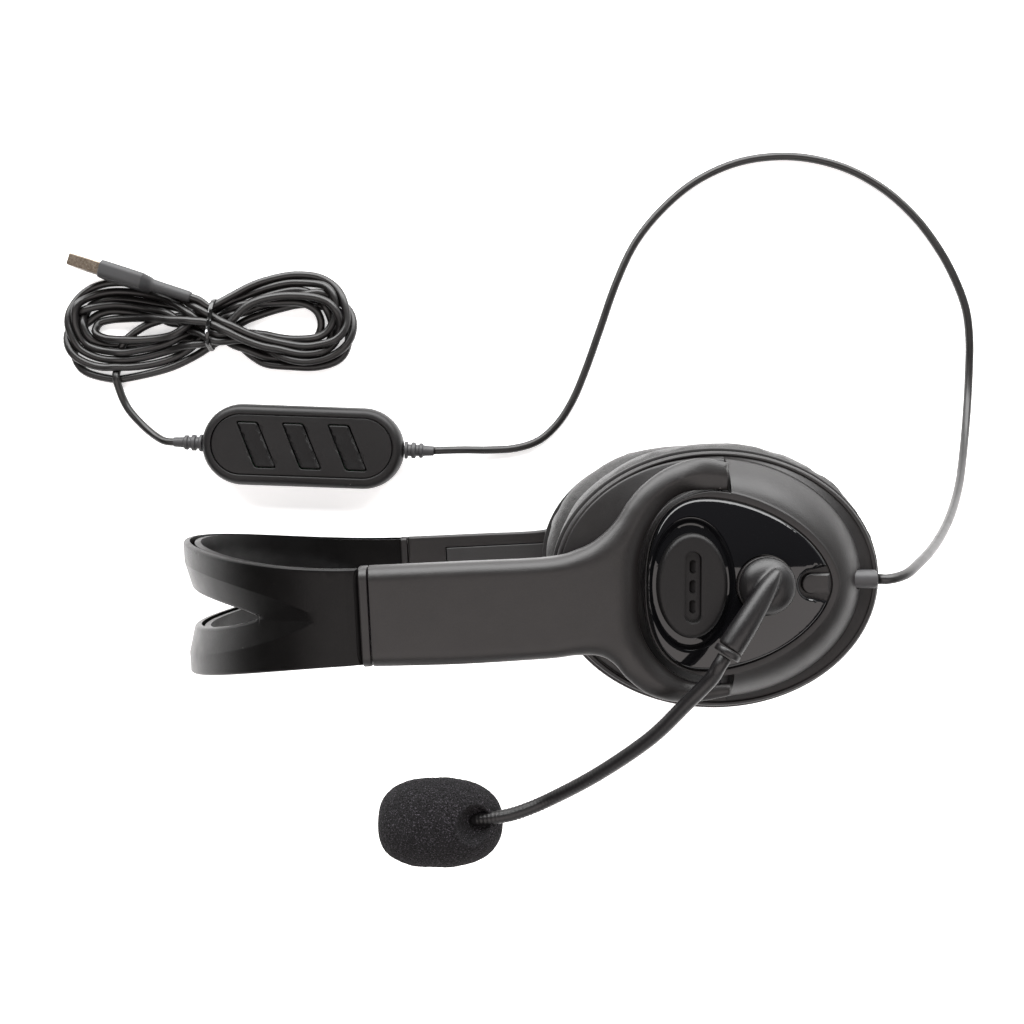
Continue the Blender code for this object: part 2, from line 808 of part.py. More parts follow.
def cushion_shape():
    rings = []
    steps = 10
    for i in range(steps):
        t = math.tau * i / steps
        out = power(math.cos(t), 0.72)
        up = power(math.sin(t), 0.72)
        a = (CUSHION_A + EAR_A) / 2 + out * (CUSHION_A - EAR_A) / 2
        b = (CUSHION_B + EAR_B) / 2 + out * (CUSHION_B - EAR_B) / 2
        w = (CUSHION_BACK + CUSHION_FACE) / 2 - up * (CUSHION_BACK - CUSHION_FACE) / 2
        rings.append(ring(a, b, w, 28, CUSHION_X, CUSHION_Y))
    return loft(rings, joined=True)


def disc_shape(profile, sides, x=CUP_X, y=CUP_Y):
    """Turned piece from (radius, w) pairs, closed on its axis at both ends."""
    return loft([ring(r, r, w, sides, x, y) for r, w in profile])


def turned_ring(profile, sides, x=CUP_X, y=CUP_Y):
    return loft([ring(r, r, w, sides, x, y) for r, w in profile], joined=True)


def baffle_shape():
    hole = 18.0
    top, bottom = 47.0, CUSHION_BACK + GAP
    low, high = (ring(LIP_A + 1.0, LIP_B + 1.0, w, 32, LIP_X, LIP_Y) for w in (bottom, top))
    return loft([low, ring(hole, hole, bottom, 32), ring(hole, hole, top, 32), high],
                joined=True)


def build_cup(word, side, body):
    shell = add_piece(f"{word}_cup_shell", body, SATIN, cup_shell_shape(), side, 30)
    height = HALF_WIDTH + side * HINGE_W
    for end, start, stop in (("upper", 57.0, 49.0), ("lower", -7.0, 0.0)):
        bore(shell, f"{word}_{end}_pin_seat", (HINGE_X, start, height),
             (HINGE_X, stop, height), PIN_RADIUS + GAP)
    if side > 0:
        exit_height = HALF_WIDTH + GLAND_W
        bore(shell, "gland_hole", (93.0, CUP_Y, exit_height), (112.0, CUP_Y, exit_height), 3.0)
    cover = cover_shape(side > 0)
    add_piece(f"{word}_gloss_cover", body, GLOSS, cover, side, 25)
    tongue = plate(tongue_tab(), lambda u, v, top: (u, v, 62.3 if top else 60.9), spacing=4.0)
    add_piece(f"{word}_cover_tab", body, SATIN, tongue, side)
    add_piece(f"{word}_badge", body, SATIN, badge_shape(), side)
    add_piece(f"{word}_baffle", body, INNER, baffle_shape(), side)
    frame = [(19.6, 47.3), (19.6, 49.2), (13.0, 53.0), (9.6, 53.2),
             (9.6, 52.0), (12.4, 51.8), (18.0, 48.4), (18.0, 47.3)]
    add_piece(f"{word}_driver_frame", body, INNER, turned_ring(frame, 18), side)
    magnet = [(8.6, 53.5), (9.2, 54.0), (9.2, 57.6), (8.6, 58.0)]
    add_piece(f"{word}_driver_magnet", body, STEEL, disc_shape(magnet, 16), side)
    film = [(4.0, 45.9), (9.0, 46.6), (12.0, 45.8), (17.4, 46.0),
            (17.4, 46.6), (12.0, 46.4), (9.0, 47.2), (4.0, 46.5)]
    add_piece(f"{word}_diaphragm", body, FILM, disc_shape(film, 16), side)
    add_piece(f"{word}_ear_cushion", body, LEATHERETTE, cushion_shape(), side, 60)
    cloth = loft([ring(EAR_A - 0.6, EAR_B - 0.6, w, 32, CUSHION_X, CUSHION_Y)
                  for w in (43.2, 44.0)])
    add_piece(f"{word}_ear_cloth", body, CLOTH, cloth, side)


def tongue_tab():
    arc = tongue_loop(0.0)
    return [(91.9, arc[0][1])] + arc + [(91.9, arc[-1][1])]


# --- microphone --------------------------------------------------------------------

def build_microphone(bodies):
    cup, boom = bodies["near_cup"], bodies["mic_boom"]
    socket = [(HUB_RADIUS + 0.2, 64.3), (HUB_RADIUS + 0.2, 66.7), (HUB_RADIUS - 0.2, 66.9)]
    add_piece("mic_socket", cup, SATIN, disc_shape(socket, 28, HUB_X, HUB_Y), 1)

    dome = [(HUB_RADIUS - 0.3, 67.2), (HUB_RADIUS, 67.6), (7.6, 69.0), (6.2, 70.6),
            (4.0, 71.6), (1.8, 72.0)]
    base = add_piece("boom_base", boom, SATIN, disc_shape(dome, 24, HUB_X, HUB_Y), 1)
    spine = [(75.5, 29.6, 71.4), (74.2, 27.6, 71.9), (72.2, 24.6, 72.5), (69.2, 19.9, 73.3),
             (65.2, 13.7, 74.1), (61.6, 8.1, 74.5)]
    spine = [(x, y, HALF_WIDTH + w) for x, y, w in smooth_path(spine, 2)]
    radii = [0.5 + 3.15 * clamp(i / 6.0) ** 0.7 for i in range(len(spine))]
    points, faces = tube(spine, radii, 12)
    mesh = bpy.data.meshes.new("boom_base_arm")
    mesh.from_pydata([Vector(p) * MM for p in points], [], faces)
    turn_outward(mesh)
    cut(base, "boom_base_arm", mesh)
    base.modifiers[-1].operation = "UNION"

    along = (Vector(spine[-1]) - Vector(spine[-2])).normalized()
    start = Vector(spine[-1]) + along * GAP
    collar = tube([start, start + along * 1.8], [3.8, 3.8], 16)
    add_piece("boom_collar", boom, SATIN, collar)

    first = start + along * (1.8 + 2 * GAP)
    route = [tuple(first), tuple(first + along * 3.0)]
    route += [(x, y, HALF_WIDTH + w) for x, y, w in (
        (56.6, -0.6, 73.0), (50.3, -8.2, 69.6), (41.2, -19.3, 63.0), (27.3, -32.1, 52.5),
        (13.6, -42.3, 42.6), (0.5, -49.1, 35.4), (-4.4, -51.0, 33.8),
        (-9.0, -52.0, 33.1))]
    path = even_path(route, 5.0)
    add_piece("boom_gooseneck", boom, SATIN, tube(path, [BOOM_RADIUS] * len(path), 8))
    build_windscreen(boom)


def build_windscreen(boom):
    cx, cy, cw = FOAM_CENTRE
    height = HALF_WIDTH + cw
    capsule = [(-9.7, 3.0), (-10.2, 4.6), (-19.0, 4.6), (-20.0, 3.6)]
    path = [(x, cy, height) for x, r in capsule]
    add_piece("mic_capsule", boom, INNER, tube(path, [r for x, r in capsule], 16))
    outer = []
    for i in range(1, 10):
        t = math.pi * i / 10
        outer.append((cx - FOAM_HALF_LENGTH * power(math.cos(t), 0.8),
                      FOAM_RADIUS * power(math.sin(t), 0.7)))
    cavity = [(-6.4, 4.4), (-7.2, 3.1), (-8.6, 2.9), (-9.0, 5.0), (-22.0, 5.0), (-23.0, 3.0)]
    profile = outer + cavity
    path = [(x, cy, height) for x, r in profile]
    rings = [[(x, cy + r * math.cos(t), height + r * math.sin(t))
              for t in (math.tau * k / 18 for k in range(18))] for x, r in profile]
    add_piece("foam_windscreen", boom, FOAM, loft(rings), None, 70)


# --- cable, remote and plug -----------------------------------------------------------

CORD_UPPER = [
    (107.8, 25.2, 123.0), (111.4, 25.2, 123.0), (117.2, 26.3, 119.4), (123.6, 28.5, 110.6),
    (131.2, 31.0, 98.0), (139.4, 34.2, 83.0), (148.0, 38.6, 66.5), (156.2, 44.2, 50.0),
    (163.8, 51.6, 34.0), (169.8, 60.4, 20.5), (174.4, 71.0, 10.4), (177.3, 82.6, 4.4),
    (178.6, 94.4, 1.9), (178.7, 105.6, 1.6), (177.2, 117.2, 1.6), (172.8, 128.9, 1.6),
    (166.4, 140.4, 1.6), (157.0, 152.6, 1.6), (144.4, 163.6, 1.6), (128.6, 171.8, 1.6),
    (110.0, 175.6, 1.6), (91.0, 174.0, 1.6), (74.3, 167.2, 1.6), (61.0, 156.8, 1.6),
    (49.9, 143.4, 1.6), (42.4, 127.8, 1.6), (36.0, 109.5, 1.6), (30.6, 94.2, 1.6),
    (25.6, 82.4, 1.6), (19.8, 73.4, 1.6), (12.6, 67.0, 1.6), (3.6, 64.0, 1.6),
    (-6.6, 63.3, 2.1), (-16.4, 63.3, 4.4), (-25.0, 63.1, 5.9), (-28.4, 62.9, 6.0)]
CORD_LOWER = [
    (-127.0, 66.33, 6.0), (-131.2, 66.7, 5.3), (-136.2, 69.3, 2.9), (-141.4, 73.6, 1.6),
    (-146.2, 79.2, 1.6), (-149.0, 85.2, 1.6), (-149.6, 89.6, 1.8)]


def add_cord(name, body, route):
    curve = bpy.data.curves.new(name, "CURVE")
    curve.dimensions = "3D"
    curve.bevel_depth = CABLE_RADIUS * MM
    curve.bevel_resolution = 2
    curve.use_fill_caps = True
    spline = curve.splines.new("POLY")
    points = even_path(route, 8.5)
    spline.points.add(len(points) - 1)
    for target, point in zip(spline.points, points):
        target.co = (*(Vector(point) * MM), 1.0)
    curve.materials.append(make_material(name, CABLE))
    cord = bpy.data.objects.new(name, curve)
    bpy.context.collection.objects.link(cord)
    cord.parent = body
    cord.location = -body.location


def gland_shape():
    height = HALF_WIDTH + GLAND_W
    profile = [(97.6, 1.0), (98.4, 2.1), (99.8, 2.7), (106.6, 2.7), (GLAND_END_X, 2.3)]
    return tube([(x, CUP_Y, height) for x, r in profile], [r for x, r in profile], 14)


def pod_xy(u, v):
    c, s = math.cos(POD_TILT), math.sin(POD_TILT)
    return POD_X + u * c - v * s, POD_Y + u * s + v * c


def pod_loop(shrink, steps=10):
    """Stadium outline of the remote, in its own frame."""
    radius = POD_WIDTH / 2 - shrink
    straight = POD_LENGTH / 2 - POD_WIDTH / 2
    result = []
    for end in (1, -1):
        for i in range(steps + 1):
            t = math.pi * (i / steps - 0.5) + (0 if end > 0 else math.pi)
            result.append((end * straight + radius * math.cos(t), radius * math.sin(t)))
    return result


def pod_ring(shrink, z):
    return [(*pod_xy(u, v), z) for u, v in pod_loop(shrink)]


def key_loop(x, grow):
    """Slanted parallelogram with its centre at x, in the remote's frame."""
    half = KEY_WIDTH / 2 + grow
    tall = KEY_HEIGHT / 2 + grow
    lean = KEY_SLANT / 2
    return [(x - half + lean, -tall), (x + half + lean, -tall),
            (x + half - lean, tall), (x - half - lean, tall)]


def pod_plate(outline, bottom, top, holes=()):
    def place(u, v, upper):
        return (*pod_xy(u, v), top if upper else bottom)
    return plate(outline, place, holes=holes, spacing=40.0)


def build_remote(bodies):
    root = bodies["near_arm"]
    lower = [pod_ring(2.6, 0.0), pod_ring(1.0, 0.7), pod_ring(0.2, 2.6), pod_ring(0.0, 5.85)]
    floor = [pod_ring(1.6, 1.6), pod_ring(1.6, 5.85)]
    add_piece("remote_lower_shell", root, SATIN, tray(lower, floor))
    upper = [pod_ring(0.0, 6.15), pod_ring(0.2, 9.2), pod_ring(1.0, 11.1), pod_ring(2.4, 11.9),
             pod_ring(3.6, POD_HEIGHT), pod_ring(3.9, 11.6), pod_ring(3.9, 10.2),
             pod_ring(5.4, 10.2), pod_ring(5.4, 9.4), pod_ring(1.6, 9.4), pod_ring(1.6, 6.15)]
    add_piece("remote_upper_shell", root, SATIN, loft(upper, joined=True))
    places = [KEY_PITCH * i for i in (-1, 0, 1)]
    face = pod_plate(pod_loop(4.2), 10.5, 11.7, [key_loop(x, 0.4) for x in places])
    add_piece("remote_face_plate", root, SATIN, face)
    for word, x in zip(("left", "middle", "right"), places):
        key = pod_plate(key_loop(x, 0.0), 7.2, 11.9)
        add_piece(f"remote_key_{word}", bodies[f"key_{word}"], SATIN, key)
    board = pod_plate(pod_loop(2.4), 4.2, 5.4)
    add_piece("remote_circuit_board", root, BOARD, board)
    for word, end in (("left", -1), ("right", 1)):
        add_piece(f"remote_boot_{word}", root, RUBBER, boot_shape(end))


def tray(outer, inner):
    """Shell open upward: outer rings go up, inner rings start at the floor."""
    points, faces = bowl(outer[::-1], inner)
    return points, faces


def boot_shape(end):
    """Ribbed strain relief on one end of the remote."""
    start = POD_LENGTH / 2 + GAP
    profile = [(0.0, 3.3), (1.0, 3.3), (1.2, 2.3), (2.4, 2.3), (2.6, 3.1), (4.0, 3.1),
               (4.2, 2.2), (5.4, 2.2), (5.6, 2.9), (6.8, 2.8), (7.0, 2.1), (10.0, 1.9)]
    path = [(*pod_xy(end * (start + step), 0.0), 6.0) for step, r in profile]
    return tube(path, [r for step, r in profile], 12)


def hank_outline():
    """Two lobes pinched at the tie, flattened where the plug lies."""
    route = [(-169.2, 108.6), (-166.6, 118.6), (-159.5, 123.2), (-150.0, 122.6),
             (-139.0, 119.4), (-127.0, 116.2), (-118.0, 115.2), (WAIST_X, 114.6),
             (-103.0, 119.4), (-93.0, 125.4), (-83.0, 130.2), (-73.0, 131.2),
             (-63.6, 127.0), (-58.6, 117.6), (-58.6, 107.2), (-63.0, 98.6),
             (-72.0, 94.8), (-84.0, 95.4), (-97.0, 99.6), (WAIST_X, 104.2),
             (-123.0, 99.4), (-135.0, 93.2), (-147.0, 90.0), (-159.0, 93.6),
             (-166.6, 100.0)]
    return smooth_path(route, 2, closed=True)[::-1]


def hank_shape():
    def place(u, v, top):
        pinch = 1.0 - ease((abs(u - WAIST_X) - 2.0) / 8.0)
        return (u, v, HANK_HEIGHT - 1.3 * pinch if top else 1.3 * pinch)
    return plate(hank_outline(), place, spacing=9.0)


def tie_shape():
    """Flat band round the hank's waist."""
    inner, outer = [], []
    for grow, loop in ((0.5, inner), (1.2, outer)):
        low, high = 104.0 - grow, 114.8 + grow
        bottom, top = 1.2 - grow, HANK_HEIGHT - 1.2 + grow
        loop += [(low, bottom), (high, bottom), (high, top), (low, top)]
    half = 0.8
    rings = []
    for loop, x in ((inner, -half), (inner, half), (outer, half), (outer, -half)):
        rings.append([(WAIST_X + x, y, z) for y, z in loop])
    return loft(rings, joined=True)


def plug_point(along, across, z):
    c, s = math.cos(PLUG_ANGLE), math.sin(PLUG_ANGLE)
    return (PLUG_JOINT[0] + along * c - across * s,
            PLUG_JOINT[1] + along * s + across * c, z)


def plug_section(along, thick, tall, radius):
    """Rounded rectangle across the plug's axis."""
    half, high = thick / 2 - radius, tall / 2 - radius
    result = []
    for quarter, (sy, sz) in enumerate(((1, 1), (-1, 1), (-1, -1), (1, -1))):
        for step in range(3):
            t = math.pi / 2 * (quarter + step / 2)
            result.append(plug_point(along, sy * half + radius * math.cos(t),
                                     PLUG_AXIS_Z + sz * high + radius * math.sin(t)))
    return result


def build_plug(body):
    grip = [(0.0, 5.8, 14.6, 1.6), (0.6, 6.8, 15.8, 2.0), (16.4, 6.4, 15.4, 2.0),
            (18.2, 5.2, 8.0, 2.2), (19.4, 4.8, 5.0, 2.2), (33.6, 4.3, 4.3, 2.1),
            (34.2, 3.6, 3.6, 1.7)]
    add_piece("usb_overmold", body, RUBBER, loft([plug_section(*g) for g in grip]))
    wall = 0.4
    near_end, far_end = -GAP, -GAP - USB_LENGTH
    shell = []
    for along, shrink in ((near_end, 0.0), (far_end, 0.0), (far_end, wall), (near_end, wall)):
        shell.append(plug_section(along, USB_THICK - 2 * shrink, USB_WIDTH - 2 * shrink, 0.45))
    add_piece("usb_shell", body, PLUG, loft(shell, joined=True))
    tongue = []
    for along in (near_end - 0.2, far_end + 2.0):
        half = USB_WIDTH / 2 - 0.8
        tongue.append([plug_point(along, y, PLUG_AXIS_Z + z)
                       for y, z in ((-1.75, -half), (0.1, -half), (0.1, half), (-1.75, half))])
    add_piece("usb_tongue", body, INNER, loft(tongue))


def build_cable(bodies):
    add_piece("cable_gland", bodies["near_cup"], RUBBER, gland_shape())
    root = bodies["near_arm"]
    add_cord("cord_upper", root, CORD_UPPER)
    add_cord("cord_lower", root, CORD_LOWER)
    add_piece("cord_hank", root, CABLE, hank_shape())
    add_piece("hank_tie", root, RUBBER, tie_shape())
    build_plug(root)


# --- assembly ------------------------------------------------------------------------

def build():
    clear_scene()
    headset = bpy.data.objects.new("headset", None)
    headset.location = Vector(ORIGIN_SHIFT) * MM
    bpy.context.collection.objects.link(headset)
    joint_x, joint_y = arm_xy(ARM_JOINT, 0.0)
    places = {
        "near_arm": (0.0, 0.0, 0.0),
        "headband": (joint_x, joint_y, 2 * HALF_WIDTH),
        "far_arm": (joint_x, joint_y, 0.0),
        "near_cup": (HINGE_X, CUP_Y, HALF_WIDTH + HINGE_W),
        "far_cup": (HINGE_X, CUP_Y, HALF_WIDTH - HINGE_W),
        "mic_boom": (HUB_X, HUB_Y, HALF_WIDTH + BADGE_TOP),
    }
    for i, word in enumerate(("left", "middle", "right")):
        places[f"key_{word}"] = (*pod_xy(KEY_PITCH * (i - 1), 0.0), POD_HEIGHT)
    bodies = {name: make_body(f"{name}_body", headset, *place)
              for name, place in places.items()}
    build_headband(bodies)
    for word, side in (("near", 1), ("far", -1)):
        build_arm(word, side, bodies[f"{word}_arm"])
        build_cup(word, side, bodies[f"{word}_cup"])
    build_microphone(bodies)
    build_remote(bodies)
    build_cable(bodies)


build()
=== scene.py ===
"""Looks of the office headset: fine surfaces, soft parts, the real cable and
every material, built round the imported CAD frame.

Shapes are worked out in millimetres and become metres when a mesh is made.
Points on the headset are (x, y, w) or (x, y, z): w is the distance from the
median plane, and x, y are counted from ORIGIN, which the frame gives.
"""

import math

import bpy
import numpy as np
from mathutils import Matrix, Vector, noise
from mathutils.geometry import delaunay_2d_cdt


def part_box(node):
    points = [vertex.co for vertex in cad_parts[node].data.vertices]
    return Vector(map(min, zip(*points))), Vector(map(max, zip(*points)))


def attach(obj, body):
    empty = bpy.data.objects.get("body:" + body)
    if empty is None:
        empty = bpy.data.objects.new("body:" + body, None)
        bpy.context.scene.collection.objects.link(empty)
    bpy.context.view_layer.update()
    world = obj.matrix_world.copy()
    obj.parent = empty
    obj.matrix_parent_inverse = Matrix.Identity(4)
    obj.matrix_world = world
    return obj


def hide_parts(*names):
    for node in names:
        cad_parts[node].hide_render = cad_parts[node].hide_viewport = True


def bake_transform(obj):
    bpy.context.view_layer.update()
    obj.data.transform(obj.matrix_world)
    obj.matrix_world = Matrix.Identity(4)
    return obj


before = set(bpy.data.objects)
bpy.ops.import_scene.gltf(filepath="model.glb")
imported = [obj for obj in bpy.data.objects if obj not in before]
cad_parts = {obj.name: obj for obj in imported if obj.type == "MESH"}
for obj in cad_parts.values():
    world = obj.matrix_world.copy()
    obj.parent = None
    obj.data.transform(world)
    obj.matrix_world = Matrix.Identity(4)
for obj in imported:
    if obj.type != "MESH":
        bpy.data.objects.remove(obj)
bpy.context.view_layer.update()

MM = 0.001
GAP = 0.3
TURN = math.tau


def node_box(node):
    """Lowest and highest corner of a CAD node, in millimetres."""
    low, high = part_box(node)
    return low / MM, high / MM


def middle(node):
    low, high = node_box(node)
    return (low + high) / 2


# --- driving dimensions -------------------------------------------------------

CUP_X, CUP_Y = 59.8, 25.2
LIP_X, LIP_Y = 61.9, 24.7
ORIGIN = middle("near_baffle").xy - Vector((LIP_X, LIP_Y))
HALF_WIDTH = node_box("near_arm")[1].z / 2

# Headband and slider
ARM_TILT = math.radians(2.8)
ARM_LINE_Y = 17.9
ARM_JOINT = -37.4
ARM_HALF, ARM_HALF_LOW = 13.85, 14.35
BAND_RISE = 66.4
BAND_SHELL = 2.0
LINER_DEPTH = 3.4
LINER_SHELL = 2.0
BAND_END = math.radians(87.67)
BAND_ARC_RADIUS = 68.0
SLOT_END = math.radians(59.0)
SLOT_HALF = 6.2
CREASE_END = math.radians(77.3)
CREASE_HALF = 15.0
CREASE_SLOPE = 0.25
CAP_LENGTH = 2.5
CAP_DEPTH = 7.7
BLADE_HALF, BLADE_TOP, BLADE_BOTTOM, BLADE_REACH = 7.0, 66.7, 65.9, 38.0

# Arm and yoke
ARM_THICK = 8.0
PRONG_THICK = 4.7
PRONG_DROP = 6.7
YOKE_START_X = 20.0
YOKE_END_X = 63.4
UPPER_END_Y = (58.7, 50.9)      # outer and inner edge of the upper prong at its end
LOWER_END_Y = (-7.4, -4.0)
SIDE_FILLET, SIDE_DROP = 4.2, 3.7
END_RELIEF = 1.9                # the sides are rounded less where the rods pass
ARM_UNDER_ROUND = 0.9

# Ear cup
LIP_A, LIP_B = 47.3, 37.4
BASE_A, BASE_B = 43.6, 34.7
WALL_X_UP, WALL_X_LOW = 64.1, 65.3
EGG_X, EGG_Y = 57.0, 24.4
EGG_RIGHT, EGG_LEFT, EGG_HALF = 35.5, 16.6, 24.4
BEZEL_TOP = 61.5
COVER_CROWN = 66.2
HINGE_X, HINGE_W = 61.0, 59.7
ROD_RADIUS = 0.7                # slimmer than the CAD pin of 1.2, to stay in the prong
ROD_ENDS = (("upper", 56.4, 49.6), ("lower", -6.8, -0.6))
BADGE_X, BADGE_Y = 52.4, 24.5
BADGE_A, BADGE_B = 9.9, 14.7
BADGE_TOP = 68.0
BADGE_SLOT = (BADGE_X + 0.2, BADGE_Y - 0.3)
SLOT_DEPTH, WINDOW_DEPTH, WINDOW_TILT = 1.9, 2.5, 0.7
WINDOW_STEPS = (-5.6, 0.0, 5.6)
MOAT_A, MOAT_B = 12.3, 19.3
CUSHION_X, CUSHION_Y = 63.5, 26.2
CUSHION_A, CUSHION_B = 50.0, 39.8
CUSHION_FACE, CUSHION_BACK = 21.5, 45.0
EAR_A, EAR_B = 29.0, 20.0
RIM = 240

# Microphone
HUB_X, HUB_Y = 73.1, 24.5
HUB_RADIUS = 8.0
BOOM_RADIUS = 2.05
FOAM_CENTRE = (-19.8, -52.2, 33.0)
FOAM_HALF_LENGTH = 19.2
FOAM_RADIUS = 13.5
FOAM_MOUTH = (-9.2, -50.2)      # where the gooseneck enters the foam, from above
MOUTH_A, MOUTH_B = 5.2, 5.8
MOUTH_DEPTH, MOUTH_FLOOR = 7.0, 5.4

# Cable, remote and plug
CABLE_RADIUS = 1.5
GLAND_W = 54.0
GLAND_END_X = 107.3
POD_X, POD_Y = -77.6, 64.6
POD_TILT = math.radians(-2.0)
POD_LENGTH, POD_WIDTH, POD_HEIGHT = 77.0, 31.0, 12.0
KEY_PITCH = 17.3
KEY_WIDTH, KEY_HEIGHT, KEY_SLANT = 7.4, 16.6, 7.4
PLUG_JOINT = (-152.5, 131.3)
PLUG_ANGLE = math.radians(-17.2)
PLUG_AXIS_Z = 8.0
USB_LENGTH, USB_WIDTH, USB_THICK = 12.0, 12.0, 4.5
TIE_X = -112.4
TIE_THICK, TIE_GAP = 0.7, 0.12


# --- curves and meshes --------------------------------------------------------

def clamp(value, low=0.0, high=1.0):
    return max(low, min(high, value))


def ease(value):
    value = np.clip(value, 0.0, 1.0)
    return value * value * (3.0 - 2.0 * value)


def power(value, exponent):
    return math.copysign(abs(value) ** exponent, value)


def round_over(distance, radius):
    """Drop below the flat at a distance from a rounded edge."""
    left = np.clip(radius - distance, 0.0, radius)
    return radius - np.sqrt(radius ** 2 - left ** 2)


def round_rows(radius, steps=6):
    """Distances from the edge that share a quarter round into equal angles."""
    return [radius * (1 - math.cos(math.pi / 2 * i / steps)) for i in range(1, steps + 1)]


def spline_value(values, t):
    a, b, c, d = values
    return 0.5 * (2 * b + (c - a) * t + (2 * a - 5 * b + 4 * c - d) * t * t
                  + (3 * b - a - 3 * c + d) * t ** 3)


def smooth_path(points, steps, closed=False):
    """Catmull-Rom curve through the points, in any number of dimensions."""
    count = len(points)
    spans = count if closed else count - 1
    result = []
    for i in range(spans):
        if closed:
            four = [points[(i + k) % count] for k in (-1, 0, 1, 2)]
        else:
            four = [points[clamp(i + k, 0, count - 1)] for k in (-1, 0, 1, 2)]
        for step in range(steps):
            result.append(tuple(spline_value(axis, step / steps) for axis in zip(*four)))
    if not closed:
        result.append(tuple(points[-1]))
    return result


def even_path(points, spacing, steps=24):
    """Points at an even spacing along a smooth curve through the points."""
    fine = np.array(smooth_path(points, steps), float)
    reach = np.concatenate([[0.0], np.cumsum(np.linalg.norm(np.diff(fine, axis=0), axis=1))])
    count = max(2, round(reach[-1] / spacing))
    places = np.linspace(0.0, reach[-1], count + 1)
    return np.stack([np.interp(places, reach, fine[:, k]) for k in range(fine.shape[1])], 1)


def path_length(points):
    return float(np.linalg.norm(np.diff(np.array(points, float), axis=0), axis=1).sum())


def ring(a, b, w, count=RIM, x=CUP_X, y=CUP_Y):
    return [(x + a * math.cos(t), y + b * math.sin(t), w)
            for t in (TURN * i / count for i in range(count))]


def oval_loop(a, b, count, x, y):
    return [(px, py) for px, py, w in ring(a, b, 0.0, count, x, y)]


def ring_quads(pairs, count):
    """Quads between rings, given as pairs of ring numbers."""
    return [(a * count + i, a * count + j, b * count + j, b * count + i)
            for a, b in pairs for i, j in ((k, (k + 1) % count) for k in range(count))]


def close_end(points, faces, rings, index, turn):
    """Fan over one ring, round a new point in its middle."""
    count = len(rings[index])
    points.append(tuple(np.mean(np.array(rings[index], float), axis=0)))
    for i in range(count):
        fan = (index * count + i, index * count + (i + 1) % count, len(points) - 1)
        faces.append(fan[::turn])


def loft(rings, joined=False):
    """Quads between rings; the ends are closed, or joined to each other."""
    points = [tuple(p) for each in rings for p in each]
    last = len(rings) - 1
    pairs = [(i, i + 1) for i in range(last)] + ([(last, 0)] if joined else [])
    faces = ring_quads(pairs, len(rings[0]))
    if not joined:
        close_end(points, faces, rings, 0, -1)
        close_end(points, faces, rings, last, 1)
    return points, faces


def corner_curve(one, here, two, steps):
    """Points from one to two, round the corner at here."""
    return [one * (1 - t) ** 2 + here * 2 * t * (1 - t) + two * t * t
            for t in (step / steps for step in range(steps + 1))]


def tube(path, radii, sides):
    """Round bar along a path of 3-D points, with a radius at each point."""
    path = [Vector(p) for p in path]
    rings = []
    across = None
    for i, point in enumerate(path):
        ahead = path[min(i + 1, len(path) - 1)] - path[max(i - 1, 0)]
        ahead.normalize()
        if across is None:
            across = ahead.orthogonal().normalized()
        across = (across - ahead * across.dot(ahead)).normalized()
        up = ahead.cross(across)
        radius = float(radii[i])
        rings.append([tuple(point + radius * (across * math.cos(t) + up * math.sin(t)))
                      for t in (TURN * k / sides for k in range(sides))])
    return loft(rings)


def inside(points, loop):
    """Which of the points lie in a closed loop."""
    a = np.array(loop, float)
    b = np.roll(a, -1, axis=0)
    u, v = points[:, 0:1], points[:, 1:2]
    spans = (a[:, 1] > v) != (b[:, 1] > v)
    rise = np.where(b[:, 1] == a[:, 1], 1e-9, b[:, 1] - a[:, 1])
    crosses = spans & (u < (b[:, 0] - a[:, 0]) * (v - a[:, 1]) / rise + a[:, 0])
    return crosses.sum(axis=1) % 2 == 1


def edge_distance(points, loops):
    best = np.full(len(points), 1e9)
    for loop in loops:
        a = np.array(loop, float)
        d = np.roll(a, -1, axis=0) - a
        offset = points[:, None, :] - a[None]
        t = np.clip((offset * d).sum(-1) / np.maximum((d * d).sum(-1), 1e-12), 0.0, 1.0)
        best = np.minimum(best, np.linalg.norm(offset - t[..., None] * d, axis=-1).min(axis=1))
    return best


def beside(loop, distance, inward):
    """Points at a distance from a closed loop, on its inner or its outer side."""
    a = np.array(loop, float)
    before, after = np.roll(a, 1, axis=0), np.roll(a, -1, axis=0)
    area = 0.5 * np.sum(a[:, 0] * after[:, 1] - after[:, 0] * a[:, 1])
    along = after - before
    length = np.maximum(np.linalg.norm(along, axis=1, keepdims=True), 1e-9)
    normal = np.stack([-along[:, 1], along[:, 0]], 1) / length * math.copysign(1.0, area)
    moved = a + normal * (distance if inward else -distance)
    keep = (edge_distance(moved, [loop]) > 0.93 * distance) & (inside(moved, loop) == inward)
    return [tuple(p) for p in moved[keep]]


def inset(loop, distance):
    return beside(loop, distance, True)


def outset(loop, distance):
    return beside(loop, distance, False)


def inner_grid(loops, holes, spacing):
    outline = np.array(loops[0], float)
    low, high = outline.min(axis=0), outline.max(axis=0)
    rows = np.arange(low[1] + spacing / 2, high[1], spacing * 0.87)
    points = []
    for row, v in enumerate(rows):
        for u in np.arange(low[0] + spacing * (0.5 + 0.5 * (row % 2)), high[0], spacing):
            points.append((u, v))
    points = np.array(points)
    keep = inside(points, loops[0]) & (edge_distance(points, loops) > 0.6 * spacing)
    for hole in holes:
        keep &= ~inside(points, hole)
    return [tuple(p) for p in points[keep]]


